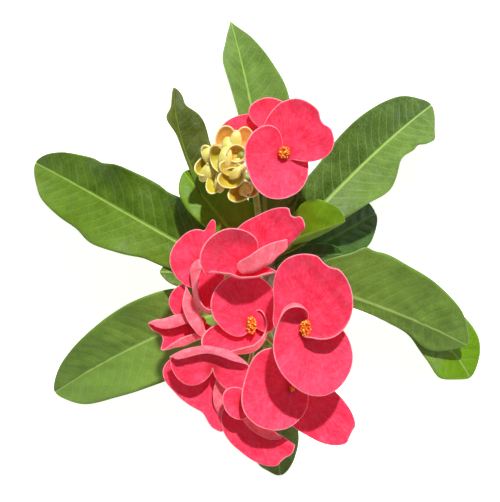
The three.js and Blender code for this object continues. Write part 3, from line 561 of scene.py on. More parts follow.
def leafBlade(shape):
    p, w = {**plainLeaf, **shape}, veinPattern
    u = np.sin(math.pi / 2 * np.linspace(0, 1, w["rows"]) ** 0.9)
    t = np.linspace(-1, 1, w["columns"])
    v = 0.45 * t + 0.55 * t ** 3  # closer together at the midrib
    grid, h, upper = leafGrid(p, u, v)
    isLeft = (v > 0)[None, :]
    steps = np.linalg.norm(np.diff(grid[:, w["columns"] // 2], axis=0), axis=1)
    s = np.concatenate([[0], np.cumsum(steps)])[:, None] + 0 * h
    length = s[-1, 0]
    share = np.abs(v)[None, :] + 0 * h
    # Margins rise and fall
    for half, (height, count, start) in ((isLeft, p["wavesLeft"]), (~isLeft, p["wavesRight"])):
        wave = height * np.sin(2 * math.pi * (count * u + start)) * np.sin(math.pi * np.clip(u, 0, 1))
        grid = grid + upper[:, None] * np.where(half, wave[:, None] * share ** 2, 0)[..., None]
    signed = h * np.where(isLeft, 1, -1)
    sway, billows, dimples = (w[kind][0] * wavy(s, signed, w[kind][1], seed) for kind, seed in
                              (("sway", 5), ("billows", 6), ("dimples", 8)))
    phase = (s - w["slant"] * h - w["bend"] * h * h) / w["spacing"] + sway
    phase = phase + np.where(isLeft, 0.0, 0.43)  # the two halves' veins don't meet
    loopAt = w["loopAt"] + w["loopWave"] * np.cos(2 * math.pi * phase)
    edge = h / np.maximum(share, 1e-6)
    toMargin = np.minimum(edge - h, (length - s) * 0.6)
    fromLoop = np.abs(share - loopAt) * edge + np.where(edge < 5, 9, 0)
    u = u[:, None]
    fade = ramp(0.98, 0.62, share) * ramp(0.02, 0.12, u) * ramp(1.0, 0.93, u)
    ribHalf = w["ribHalf"] * (1.15 - 0.75 * u)
    rib = ramp(1.3, 0.2, h / ribHalf)
    away = np.abs((phase + 0.5) % 1 - 0.5)
    quilt = w["quilt"] * (np.minimum(away * 2, 1) ** 0.6 - 0.7) * fade * ramp(0.6, 2.5, h)
    relief = quilt + dimples * ramp(0, 3, toMargin)
    grid = grid + upper[:, None] * (billows * ramp(1, 6, h))[..., None]
    petiole = w["petiole"] * ramp(0.16, 0.02, u) * np.sqrt(np.maximum(1 - share ** 2, 0))
    thin = np.sqrt(1 - (1 - np.clip(toMargin / w["thinRim"], 0, 1)) ** 2) * 0.75 + 0.25
    half = w["thickness"] / 2 * thin
    over = half + relief - w["groove"] * rib * ramp(0.0, 0.15, u) + petiole
    under = half - relief + w["keel"] * rib * (1.1 - 0.9 * u) + petiole
    under = np.maximum(under, -over + 0.12)  # the blade is nowhere thinner than this
    fields = {
        "toMargin": toMargin, "ribShare": h / ribHalf, "sideVein": phase, "veinFade": fade,
        # tone: painted light where above 0, painted shade where below 0
        "fromLoop": fromLoop, "tone": np.where(isLeft, p["paintedShadingLeft"], p["paintedShadingRight"]) + 0 * h,
        "fresh": ramp(p["freshFrom"], p["freshFrom"] + 0.03, u) + 0 * h,
    }
    points, faces, both = sheet(grid + placeOnSurface, over, under, fields)
    points[:, 2] = np.maximum(points[:, 2], 0.03)  # the tips rest on the surface
    return points, faces, both


leafMaterials = {name: waxyLeaf(name, colors) for name, colors in leafLooks.items()}
for number, shape in leaves.items():
    look = shape.get("look", plainLeaf["look"])
    blade = meshFrom(f"blade_{number}", [leafBlade(shape)], [leafMaterials[look]])
    addPiece(f"blade_{number}", blade, f"leaf_{number}")
print("leaves done")


# The two bracts of each open flower. at: the foot. az, el: where it points. bank: how far its left
# side is raised. reach: how far it spreads at -160, -120 .. 160 degrees from there, left positive.
# cup: how far its rim curves up. cupAt: how far from the foot it is deepest. sinus: how wide the gap
# at its back is. curl: how far its margin turns up in those directions, round curlRadius. lip: how
# far it runs on. notch: [direction, depth, spread]. rolls: where it turns up round a line:
# [direction, distance from the foot, radius, turn, bow]. ripple: [height in mm, how many, where they
# start] of the rim. centre, heap: the place and the two widths of the flower's centre.
plainBract = {"el": 0, "bank": 0, "cup": 10, "cupAt": 0, "notch": [0, 0, 8], "rolls": [], "sinus": 26,
              "curl": [0] * 9, "lip": [0] * 9, "curlRadius": 2, "ripple": [0.25, 5, 0.3]}
flowers = {
    "01": {
        "a": {"at": [8.8, 33.5, 69], "az": 245, "el": 3, "bank": -10,
              "reach": [9, 12, 14, 14.5, 17, 15.2, 11.5, 8, 4], "cup": 26},
        "b": {"at": [10.8, 34, 69], "az": 40, "el": 3, "bank": -10,
              "reach": [2, 3, 5, 16.5, 18, 19, 14, 9, 5], "notch": [-2, 0.08, 9], "cup": 14},
        "centre": [9.8, 33.8, 69.7], "heap": [4.2, 4.4],
    },
    "02": {
        "a": {"at": [5.5, 45.5, 49], "az": 190, "el": -2, "reach": [3, 5, 6, 9, 20, 17, 9, 5, 3],
              "cup": 8},
        "b": {"at": [6, 46.5, 51], "az": 115, "el": 3, "reach": [5, 6, 8, 8.5, 9.5, 10, 6, 4, 3],
              "cup": 16},
        "centre": [6, 45.8, 51.2],
    },
    "03": {
        "a": {"at": [-4, -7.5, 71.2], "az": 205, "el": 2, "bank": -8,
              "reach": [9, 13, 17, 17.5, 12, 8, 7, 11, 15], "cup": 30,
              "rolls": [[65, 1.5, 2.5, 95, 0]], "ripple": [0, 5, 0]},
        "b": {"at": [-2, -7, 71.5], "az": 46, "el": 2, "bank": -9,
              "reach": [11, 10, 12.5, 17, 25.4, 17.5, 12.5, 7, 5], "cup": 14, "notch": [3, 0.09, 4.5],
              "rolls": [[-116, 0.3, 2, 150, 0.011]]},
        "centre": [-2.9, -7.4, 71.2], "heap": [1.8, 1.8],
    },
    "04": {
        "a": {"at": [-20.5, -5.5, 59], "az": 175, "el": 2,
              "reach": [8, 9, 12, 11.5, 11.5, 10.5, 10, 8, 5], "notch": [-103, -0.55, 8]},
        "b": {"at": [-19, -6.5, 61], "az": -85, "el": -8,
              "reach": [3, 3.6, 5.2, 8, 17, 9, 7, 5, 3], "cup": 6,
              "curl": [90, 130, 150, 150, 120, 30, 0, 0, 0], "lip": [1, 2, 4, 4.5, 3, 1, 0, 0, 0],
              "curlRadius": 1.6},
        "centre": [-18.2, -5.5, 61.7],
    },
    "05": {
        "a": {"at": [-2.5, -27, 62.5], "az": 115, "el": -5,
              "reach": [10, 9.5, 12.5, 16, 17.5, 15.5, 10.5, 7, 4], "cup": 26},
        "b": {"at": [-2, -29, 61], "az": 280, "el": 2,
              "reach": [4, 6.5, 19, 11.5, 8.8, 6.6, 6, 6.4, 8], "cup": 6,
              "curl": [0, 0, 95, 125, 130, 120, 110, 95, 90], "lip": [0, 0, 2, 3.2, 3, 2, 1.5, 1.5, 2],
              "ripple": [0, 5, 0]},
        "centre": [-2, -28.3, 63.2], "heap": [3.6, 6.4],
    },
    "06": {
        "a": {"at": [17, -27.5, 77.5], "az": 65, "el": 4, "bank": -10,
              "reach": [5, 5.6, 12, 19, 24, 24, 13.5, 11, 7], "cup": 12, "notch": [3, 0.07, 8],
              "curl": [90, 100, 70, 20, 0, 0, 0, 0, 0], "lip": [1.5, 1.5, 1, 0, 0, 0, 0, 0, 0],
              "curlRadius": 2.5},
        "b": {"at": [17, -30.5, 77], "az": -115, "el": 4, "bank": -11,
              "reach": [10.6, 12.4, 11, 13.1, 17.5, 22.6, 19.8, 13.5, 7], "cup": 14,
              "curl": [130, 110, 60, 30, 0, 0, 0, 0, 0], "lip": [2.5, 2, 0.5, 0, 0, 0, 0, 0, 0],
              "curlRadius": 3},
        "centre": [17, -28.8, 78.2], "heap": [3.8, 6.2],
    },
    "07": {
        "a": {"at": [-22.5, -26.5, 56.5], "az": 105, "el": 1,
              "reach": [9, 9.5, 10, 12.5, 14, 12, 5, 3, 2.5], "cup": 8, "sinus": 16,
              "rolls": [[-86, -0.3, 2.5, 150, 0]]},
        "b": {"at": [-23.5, -27.5, 55], "az": 200,
              "reach": [5, 8, 11.5, 17, 15.5, 16, 13.5, 11, 7], "cup": 8, "notch": [6, 0.18, 12],
              "rolls": [[-100, 1.2, 2.6, 165, 0], [100, 4.5, 2.5, 150, 0.01]]},
        "centre": [-20.3, -27.6, 55.7],
    },
    "08": {
        "a": {"at": [-18, -43.5, 59], "az": -97, "el": -4,
              "reach": [5, 8, 16.2, 15.5, 17, 23.5, 17, 8, 5], "notch": [15, -0.2, 10], "cup": 9,
              "rolls": [[97, 5.8, 2.6, 165, 0]]},
        "b": {"at": [-16, -44, 65], "az": 90, "el": 4,
              "reach": [10, 14, 14, 14.5, 14, 17, 15.5, 11.5, 5], "cup": 8,
              "rolls": [[-12, 6, 2.5, 165, 0.022]]},
        "centre": [-18.4, -43.6, 59.7],
    },
    "09": {
        "a": {"at": [12.5, -50, 66], "az": 210,
              "reach": [5, 11.5, 16.8, 17, 19.3, 16.8, 11.5, 7, 4], "cup": 22},
        "b": {"at": [14, -52, 64], "az": -40, "el": -12,
              "reach": [6.5, 5, 9, 16, 26.5, 14, 9, 6, 4], "notch": [2, 0.05, 6]},
        "centre": [12.7, -51, 66.4], "heap": [1.9, 1.9],
    },
    "10": {
        "a": {"at": [-7.8, -59.3, 61], "az": -47, "el": -6,
              "reach": [4.5, 5.2, 8.2, 14.6, 26, 19.5, 7, 4.5, 4], "cup": 8, "notch": [1, 0.05, 6],
              "rolls": [[112, -1.9, 2.5, 150, 0]]},
        "b": {"at": [-5, -56.3, 67], "az": 225, "el": 2,
              "reach": [3.2, 5.8, 7.9, 7.1, 6.5, 6, 4.7, 4, 3], "sinus": 16},
        "centre": [-8.4, -58.5, 61.5],
    },
}
# thinRim: over how many mm it thins to its rim. wrinkles: [height, size] in mm. rings, rays: its
# points outward and round the foot.
bractBuild = {"thickness": 0.5, "thinRim": 0.6, "wrinkles": [0.22, 9], "rings": 49, "rays": 161}


# The three directions of a bract: where it points, its left and its upper side
def directions(az, el, bank):
    a, e, b = (math.radians(k) for k in (az, el, bank))
    along = np.array([math.cos(e) * math.cos(a), math.cos(e) * math.sin(a), math.sin(e)])
    level = np.array([-math.sin(a), math.cos(a), 0.0])
    upright = np.cross(along, level)
    left = level * math.cos(b) + upright * math.sin(b)
    return along, left, upright * math.cos(b) - level * math.sin(b)


# Turns the points (x, y, z) of a bract up round a line that lies across its direction
def rolled(x, y, z, direction, distance, radius, turn, bow):
    c, s = math.cos(math.radians(direction)), math.sin(math.radians(direction))
    across = y * c - x * s
    start = distance - bow * across * across
    past = x * c + y * s - start
    angle = np.minimum(past / radius, math.radians(turn))
    rest = np.maximum(past - math.radians(turn) * radius, 0)
    out = start + (radius - z) * np.sin(angle) + rest * np.cos(angle)
    rise = radius - (radius - z) * np.cos(angle) + rest * np.sin(angle)
    isPast = past > 0
    return (np.where(isPast, out * c - across * s, x), np.where(isPast, out * s + across * c, y),
            np.where(isPast, rise, z))


def bractSheet(shape, build=bractBuild):
    p = {**plainBract, **shape}
    rings, rays = build["rings"], build["rays"]
    along, left, up = directions(p["az"], p["el"], p["bank"])
    degrees = np.linspace(-170, 170, rays)[None, :]
    station = (degrees + 160) / 40
    cosine, sine = np.cos(np.radians(degrees)), np.sin(np.radians(degrees))
    direction, depth, spread = p["notch"]
    opening = 1 - np.exp(-((180 - np.abs(degrees)) / p["sinus"]) ** 2)  # the bract is open at its back
    reach = smooth(p["reach"], station) * opening
    reach = reach * (1 - depth * np.exp(-np.abs((degrees - direction) / spread) ** 3))
    curl = np.radians(np.maximum(smooth(p["curl"], station), 0)) * opening
    lip = np.maximum(smooth(p["lip"], station), 0) * opening
    bend = np.minimum(p["curlRadius"], 0.45 * reach)
    flat = reach - bend * np.sin(np.minimum(curl, math.pi / 2))
    length = flat + bend * curl + lip
    margin = np.maximum(bend * curl + lip, 0.3 * length)
    t = np.linspace(0, 1, rings)[:, None]
    s = np.where(t < 0.5, (length - margin) * (2 * np.minimum(t, 0.5)) ** 0.85,
                 length - margin * (2 - 2 * t))
    angle = np.clip((s - flat) / bend, 0, curl)
    rest = np.maximum(s - flat - bend * curl, 0)
    r = np.minimum(s, flat) + bend * np.sin(angle) + rest * np.cos(angle)
    x, y = r * cosine, r * sine
    height, count, start = p["ripple"]
    share = s / length
    z = (r - 2 * p["cupAt"] * cosine) * r * math.tan(math.radians(p["cup"])) / (2 * np.mean(p["reach"]))
    z = z + bend * (1 - np.cos(angle)) + rest * np.sin(angle)
    z = z + height * share ** 3 * np.sin(np.radians(degrees) * count + 2 * math.pi * start)
    deep, size = build["wrinkles"]
    z = z + deep * wavy(x + p["az"], y, size, 4) * ramp(0.1, 0.6, share)
    flattened = np.stack([s * cosine, s * sine], -1)
    rim = np.concatenate([flattened[-1], flattened[:, 0], flattened[:, -1]])
    toMargin = np.sqrt(((flattened.reshape(-1, 1, 2) - rim[None]) ** 2).sum(-1))
    toMargin = toMargin.min(1).reshape(rings, rays)
    toMargin[0] = toMargin[1]
    for roll in p["rolls"]:
        x, y, z = rolled(x, y, z, *roll)
    grid = np.array(p["at"]) + x[..., None] * along + y[..., None] * left + z[..., None] * up
    thin = np.sqrt(1 - (1 - np.clip(toMargin / build["thinRim"], 0, 1)) ** 2) * 0.7 + 0.3
    half = build["thickness"] / 2 * thin
    fields = {"toMargin": toMargin, "fromFoot": s,
              "veinTurn": degrees / 360 * bractLook["veinCount"] + 0 * s}
    return sheet(grid + placeOnSurface, half, half, fields, isFan=True)


rosePetal = velvetBract("roseBract", bractLook)
for number, flower in flowers.items():
    for side in "ab":
        mesh = meshFrom(f"bract_{number}{side}", [bractSheet(flower[side])], [rosePetal])
        addPiece(f"bract_{number}{side}", mesh, f"flower_{number}_bract_{side}")
print("bracts done")


# A geometry node tree with named inputs
def newTree(name, inputs):
    tree = bpy.data.node_groups.new(name, "GeometryNodeTree")
    for way in ("INPUT", "OUTPUT"):
        tree.interface.new_socket("Geometry", in_out=way, socket_type="NodeSocketGeometry")
    for label, kind in inputs.items():
        tree.interface.new_socket(label, in_out="INPUT", socket_type=f"NodeSocket{kind}")
    return tree, addNode(tree, "NodeGroupInput").outputs, addNode(tree, "NodeGroupOutput").inputs[0]


# Ends a tree with real, smooth geometry in one material
def endTree(tree, shape, material, out):
    real = addNode(tree, "GeometryNodeRealizeInstances", values={"Geometry": shape})
    soft = addNode(tree, "GeometryNodeSetShadeSmooth", values={"Geometry": real})
    skin = addNode(tree, "GeometryNodeSetMaterial", values={"Geometry": soft, "Material": material})
    tree.links.new(skin.outputs[0], out)
    return tree


# Runs a tree on a mesh and gives the result as a plain mesh
def grown(name, mesh, tree, values):
    host = addObject(name, mesh)
    modifier = host.modifiers.new("grow", "NODES")
    modifier.node_group = tree
    for item in tree.interface.items_tree:
        if item.item_type == "SOCKET" and item.in_out == "INPUT" and item.name in values:
            modifier[item.identifier] = values[item.name]
    evaluated = host.evaluated_get(bpy.context.evaluated_depsgraph_get())
    result = bpy.data.meshes.new_from_object(evaluated)
    host.modifiers.remove(modifier)
    bpy.data.objects.remove(host)
    result.name = name
    return result


# Tubes along lines of points that carry their own thickness
def tubeTree():
    tree, given, out = newTree("tubesAlongLines", {"Sides": "Int", "Skin": "Material"})
    line = addNode(tree, "GeometryNodeMeshToCurve", values={0: given["Geometry"]})
    thickness = addNode(tree, "GeometryNodeInputNamedAttribute", {"data_type": "FLOAT"}, {
        "Name": "thickness"})
    ring = addNode(tree, "GeometryNodeCurvePrimitiveCircle", values={
        "Resolution": given["Sides"], "Radius": 1.0})
    tube = addNode(tree, "GeometryNodeCurveToMesh", values={
        "Curve": line, "Profile Curve": ring, "Scale": thickness, "Fill Caps": True})
    return endTree(tree, tube, given["Skin"], out)


# A heap of small round glands on an oval mound, some of them yellow with pollen
def glandTree():
    tree, given, out = newTree("glandHeap", {
        "Width": "Float", "Length": "Float", "Height": "Float", "Bead Size": "Float",
        "Yellow Share": "Float", "Seed": "Int", "Gland Skin": "Material", "Pollen Skin": "Material"})
    oval = addNode(tree, "ShaderNodeCombineXYZ", values={
        "X": given["Width"], "Y": given["Length"], "Z": 1.0})
    circle = addNode(tree, "GeometryNodeMeshCircle", {"fill_type": "NGON"}, {
        "Vertices": 24, "Radius": 0.5})
    disc = addNode(tree, "GeometryNodeTransform", values={"Geometry": circle, "Scale": oval})
    apart = addNode(tree, "ShaderNodeMath", multiply, {0: given["Bead Size"], 1: 1.45})
    spots = addNode(tree, "GeometryNodeDistributePointsOnFaces", {"distribute_method": "POISSON"}, {
        "Mesh": disc, "Distance Min": apart, "Density Max": 4e6, "Seed": given["Seed"]})
    place = addNode(tree, "GeometryNodeInputPosition")
    inOval = addNode(tree, "ShaderNodeVectorMath", {"operation": "DIVIDE"}, {0: place, 1: oval})
    far = addNode(tree, "ShaderNodeVectorMath", {"operation": "LENGTH"}, {0: inOval})
    rise = addNode(tree, "ShaderNodeMapRange", smoothStep, {
        "Value": far.outputs["Value"], "From Min": 0.5, "From Max": 0.1, "To Max": given["Height"]})
    lift = addNode(tree, "ShaderNodeCombineXYZ", values={"Z": rise})
    mound = addNode(tree, "GeometryNodeSetPosition", values={"Geometry": spots, "Offset": lift})
    ball = addNode(tree, "GeometryNodeMeshIcoSphere", values={
        "Radius": given["Bead Size"], "Subdivisions": 2})
    size = addNode(tree, "FunctionNodeRandomValue", {"data_type": "FLOAT"}, {
        2: 0.75, 3: 1.25, "Seed": given["Seed"]})
    isYellow = addNode(tree, "FunctionNodeRandomValue", {"data_type": "BOOLEAN"}, {
        "Probability": given["Yellow Share"], "Seed": given["Seed"]}).outputs[3]
    notYellow = addNode(tree, "FunctionNodeBooleanMath", {"operation": "NOT"}, {0: isYellow}).outputs[0]
    joined = addNode(tree, "GeometryNodeJoinGeometry")
    for chosen, skin in ((isYellow, "Pollen Skin"), (notYellow, "Gland Skin")):
        some = addNode(tree, "GeometryNodeInstanceOnPoints", values={
            "Points": mound, "Selection": chosen, "Instance": ball, "Scale": size.outputs[1]})
        real = addNode(tree, "GeometryNodeRealizeInstances", values={"Geometry": some})
        skinned = addNode(tree, "GeometryNodeSetMaterial", values={
            "Geometry": real, "Material": given[skin]})
        tree.links.new(skinned.outputs[0], joined.inputs[0])
    tree.links.new(given["Geometry"], joined.inputs[0])
    soft = addNode(tree, "GeometryNodeSetShadeSmooth", values={"Geometry": joined})
    tree.links.new(soft.outputs[0], out)
    return tree


# Thorns at points that carry their direction and size
def thornTree():
    tree, given, out = newTree("thornsOnPoints", {
        "Length": "Float", "Thickness": "Float", "Bend": "Float", "Skin": "Material"})
    cone = addNode(tree, "GeometryNodeMeshCone", values={
        "Vertices": 12, "Side Segments": 10, "Radius Top": 0.00008,
        "Radius Bottom": given["Thickness"], "Depth": given["Length"]})
    place = addNode(tree, "GeometryNodeInputPosition")
    parts = addNode(tree, "ShaderNodeSeparateXYZ", values={0: place})
    square = addNode(tree, "ShaderNodeMath", {"operation": "POWER"}, {0: parts.outputs["Z"], 1: 2.0})
    shift = addNode(tree, "ShaderNodeMath", multiply, {0: square, 1: given["Bend"]})
    move = addNode(tree, "ShaderNodeCombineXYZ", values={"X": shift})
    bent = addNode(tree, "GeometryNodeSetPosition", values={"Geometry": cone, "Offset": move})
    way = addNode(tree, "GeometryNodeInputNamedAttribute", {"data_type": "FLOAT_VECTOR"}, {
        "Name": "direction"})
    turn = addNode(tree, "FunctionNodeAlignRotationToVector", {"axis": "Z"}, {"Vector": way})
    big = addNode(tree, "GeometryNodeInputNamedAttribute", {"data_type": "FLOAT"}, {"Name": "size"})
    thorns = addNode(tree, "GeometryNodeInstanceOnPoints", values={
        "Points": given["Geometry"], "Instance": bent, "Rotation": turn, "Scale": big})
    return endTree(tree, thorns, given["Skin"], out)


flesh = {name: fleshySkin(name, look) for name, look in fleshLooks.items()}
print("trees and skins done")


# Flower centre: a small oval cup with a heap of glands and pollen on it, in mm
centre = {
    "height": 2.4, "heap": [3.4, 3.4], "mound": 0.9, "bead": 0.42, "yellowShare": 0.28, "lift": 1.2,
    "sides": 24,
}


# A closed body of rings of points between a first and a last point
def closedRings(first, rings, last):
    points, faces, sides = np.concatenate([[first], *rings, [last]]), [], len(rings[0])
    top = 1 + (len(rings) - 1) * sides
    for j in range(sides):
        k = (j + 1) % sides
        faces.append([0, 1 + k, 1 + j])
        faces += [[a + j, a + k, a + sides + k, a + sides + j] for a in range(1, top, sides)]
        faces.append([top + j, top + k, len(points) - 1])
    return points, faces, {}


# A closed body round Z from (radius, height) pairs that start and end on the axis
def lathe(outline, sides):
    around = np.linspace(0, 2 * math.pi, sides, endpoint=False)
    rings = [np.array([[r * math.cos(a), r * math.sin(a), z] for a in around])
             for r, z in outline[1:-1]]
    return closedRings([0, 0, outline[0][1]], rings, [0, 0, outline[-1][1]])


glandHeap = glandTree()
h = centre["height"]
cupOutline = [(0, 0), (0.25, 0.02), (0.42, 0.25 * h), (0.5, 0.6 * h), (0.52, 0.85 * h), (0.46, h),
              (0.3, 0.95 * h), (0, 0.93 * h)]
for index, (number, flower) in enumerate(flowers.items()):
    width, length = flower.get("heap", centre["heap"])
    cup = meshFrom("cup", [lathe(cupOutline, centre["sides"])], [flesh["cup"]])
    cup.transform(Matrix.Translation((0, 0, -h * mm)) @ Matrix.Diagonal((width, length, 1, 1)))
    mesh = grown(f"centre_{number}", cup, glandHeap, {
        "Width": width * mm, "Length": length * mm, "Height": centre["mound"] * mm,
        "Bead Size": centre["bead"] * mm, "Yellow Share": centre["yellowShare"], "Seed": index + 3,
        "Gland Skin": flesh["gland"], "Pollen Skin": flesh["pollen"]})
    p = {**plainBract, **flower["a"]}
    _, _, up = directions(p["az"], p["el"], p["bank"])
    at = np.array(flower["centre"]) + placeOnSurface + [0, 0, centre["lift"]]
    tilt = Vector((0, 0, 1)).rotation_difference(Vector(up)).to_matrix().to_4x4()
    mesh.transform(Matrix.Translation(Vector(at * mm)) @ tilt)
    addPiece(f"centre_{number}", mesh, f"flower_{number}_centre")
print("flower centres done")


# Young flowers: small deep spoon bracts round a bead. Each spoon: [foot from the bead in x and y,
# az, el, bank, length, width, depth, tone]. bank 180 turns its outside up. tone 1 is tan inside.
youngFlowers = {
    "1": {"at": [-11, 35.5, 57.5], "spoons": [
        [0, 0, 92, 8, 0, 9.2, 8.2, 1.2, 0.9], [1.6, -1.4, 105, 12, 180, 6.4, 5.2, 1.6, 0],
        [-2, -0.6, 150, 10, 0, 4.6, 3.8, 1.6, 0.7], [3, -1, 86, 12, 180, 8.4, 3.4, 1, 0]]},
    "2": {"at": [-5, 35.6, 56], "spoons": [
        [0, 0, 84, 5, 0, 8.8, 7.4, 0.8, 1], [0, 0, 250, 20, 0, 4, 4, 1.2, 0.3]]},
    "3": {"at": [-5.6, 33.5, 60], "spoons": [
        [0.6, 0.2, 172, 8, 0, 6.4, 6.4, 2.8, 0.5], [0.4, -2, 198, 0, 180, 5, 3, 0.8, 0.6]]},
    "4": {"at": [-16, 31.3, 57.5], "spoons": [
        [0, 0, 122, 6, 180, 7, 5, 1.6, 0], [-1.6, 0, 106, 10, 0, 6.4, 3.4, 1.4, 0]]},
    "5": {"at": [-15.8, 31.2, 56.5], "spoons": [
        [0, 0, 208, 6, 0, 8, 7, 2.8, 0.1], [0.8, 0, 230, 4, 180, 9, 4.4, 1.4, 0]]},
    "6": {"at": [-13, 28.8, 61], "spoons": [
        [-0.5, 0, 104, 8, 0, 8.8, 5.6, 2.4, 0], [0.8, -0.2, 80, 5, 180, 8.2, 4.4, 1.4, 0]]},
    "7": {"at": [-13.8, 29, 58.5], "spoons": [
        [-0.4, 0, 254, 6, 0, 10.4, 5.4, 2.4, 0], [1, -1.6, 262, 4, 180, 7.6, 4.2, 1.2, 0]]},
    "8": {"at": [-5.6, 26.6, 61.5], "spoons": [
        [0, 0.8, 164, 8, 0, 8.8, 5.6, 1.6, 0.2], [-0.2, -0.6, 194, 4, 0, 9, 7.4, 3.2, 0.1],
        [1.2, 2.4, 216, 6, 180, 6.8, 3.2, 1.2, 0]]},
    "9": {"at": [-3.2, 22, 58.5], "spoons": [
        [0, 0, 212, 5, 0, 8.6, 6.8, 2.8, 0.1], [1, 1, 225, 12, 180, 5.4, 4.2, 1.2, 0],
        [3.2, -0.4, 205, 8, 0, 5.8, 4.8, 1.8, 0.15]]},
}
youngBuild = {**bractBuild, "thickness": 0.6, "rings": 25, "rays": 61, "bead": 1.5}


# The shape of a spoon bract, as bractSheet takes it: an oval with the foot near one end
def spoonShape(at, spoon):
    x, y, az, el, bank, length, width, depth = spoon[:8]
    middle, a, b = 0.42 * length, 0.58 * length, 0.5 * width
    degrees = np.radians(np.arange(-160, 161, 40))
    square = (np.cos(degrees) / a) ** 2 + (np.sin(degrees) / b) ** 2
    half = middle * np.cos(degrees) / a ** 2
    reach = (half + np.sqrt(half ** 2 + square * (1 - (middle / a) ** 2))) / square
    cup = math.degrees(math.atan(2 * np.mean(reach) * depth / middle ** 2))
    return {"at": [at[0] + x, at[1] + y, at[2]], "az": az, "el": el, "bank": bank, "reach": reach,
            "cup": cup, "cupAt": middle, "ripple": [0.12, 3, 0.2], "sinus": 14}


def bead(at, radius):
    outline = [(radius * math.sin(a), -radius * math.cos(a)) for a in np.linspace(0, math.pi, 9)]
    points, faces, fields = lathe(outline, 12)
    return points + np.array(at) + placeOnSurface, faces, fields


creamBract = youngBract("youngBract", youngLook)
for number, young in youngFlowers.items():
    parts = []
    for spoon in young["spoons"]:
        points, faces, fields = bractSheet(spoonShape(young["at"], spoon), youngBuild)
        parts.append((points, faces, {**fields, "tone": np.full(len(points), spoon[-1])}))
    parts.append(bead(young["at"], youngBuild["bead"]))
    mesh = meshFrom(f"youngFlower_{number}", parts, [creamBract, flesh["stalkSkin"]],
                    [0] * len(young["spoons"]) + [1])
    addPiece(f"youngFlower_{number}", mesh, f"young_{number}")
print("young flowers done")


lowerFork, leftFork, rightFork = [0, -28.5, 57], [-13, -32, 53], [10.5, -38, 57]
upperFork, youngFork = [-1, 24, 53], [-10, 28.5, 51.5]
stalks = {  # each branch: [radius, through these points]
    "lower": [
        [1.3, [1.5, -9, 40], [0.5, -15.5, 52], lowerFork],
        [0.9, [0.5, -15.5, 52], [-1, -10, 63], [-3, -7.2, 70.6]],
        [0.9, lowerFork, [-1.5, -29.5, 59], [-2.3, -28.3, 62.2]],
        [1.3, lowerFork, [-6, -31.5, 55], leftFork],
        [0.9, leftFork, [-18, -29.5, 51.5], [-22.6, -26.8, 55.7]],
        [0.9, leftFork, [-15.5, -40, 54], [-16, -44, 64.2]],
        [0.9, leftFork, [-17, -18, 51], [-19.2, -6, 60.2]],
        [1.3, lowerFork, [5, -34, 57], rightFork],
        [0.9, rightFork, [15.5, -34, 67], [17, -29, 76.7]],
        [0.9, rightFork, [12.5, -46, 58], [12.8, -50.3, 65.2]],
        [0.9, lowerFork, [-3, -45, 54], [-7.2, -57.6, 59.8], [-5.2, -56.3, 66.4]],
    ],
    "upper": [
        [1.3, [1.5, 0, 43.5], [0.5, 12, 51], upperFork],
        [0.9, upperFork, [5, 30, 57], [9.6, 33.8, 68.6]],
        [0.9, upperFork, [2, 36, 45], [6, 46.4, 50.2]],
        [1.3, upperFork, [-5, 27, 52], youngFork],
    ],
}
stalkBuild = {"sides": 14, "steps": 12, "youngRadius": 0.6}
for young in youngFlowers.values():
    x, y, z = young["at"]
    stalks["upper"].append([
        stalkBuild["youngRadius"], youngFork, [x - 0.5, y - 0.5, z - 3], [x, y, z - 0.6]])


# A smooth line through the points, evenly loose at all of them
def smoothLine(through, count):
    p = np.array(through, float)
    p = np.concatenate([[2 * p[0] - p[1]], p, [2 * p[-1] - p[-2]]])
    line = []
    for i in range(len(p) - 3):
        a, b, c, d = p[i:i + 4]
        e, f, g = (math.sqrt(np.linalg.norm(step)) for step in (b - a, c - b, d - c))
        start = (b - a) / e - (c - a) / (e + f) + (c - b) / f
        end = (c - b) / f - (d - b) / (f + g) + (d - c) / g
        for t in np.arange(count) / count:
            line.append((2 * t ** 3 - 3 * t ** 2 + 1) * b + (t ** 3 - 2 * t ** 2 + t) * f * start
                        + (3 * t ** 2 - 2 * t ** 3) * c + (t ** 3 - t ** 2) * f * end)
    return np.array([*line, p[-2]])


tubesAlongLines = tubeTree()
for which, branches in stalks.items():
    points, edges, thickness = [], [], []
    for radius, *through in branches:
        line = smoothLine(through, stalkBuild["steps"])
        share = np.linspace(0, 1, len(line))
        start = sum(len(k) for k in points)
        edges += [[start + k, start + k + 1] for k in range(len(line) - 1)]
        points.append(line + placeOnSurface)
        # Each branch is a little swollen where it leaves the fork and below the flower
        thickness.append(radius * (0.92 + 0.2 * ramp(0.25, 0, share) + 0.15 * ramp(0.85, 1, share)))
    lines = bpy.data.meshes.new("lines")
    lines.from_pydata((np.concatenate(points) * mm).tolist(), edges, [])
    addField(lines, "thickness", np.concatenate(thickness) * mm)
    mesh = grown(f"{which}Stalk", lines, tubesAlongLines, {
        "Sides": stalkBuild["sides"], "Skin": flesh["stalkSkin"]})
    addPiece(f"{which}Stalk", mesh, f"stalk_{which}")
print("stalks done")


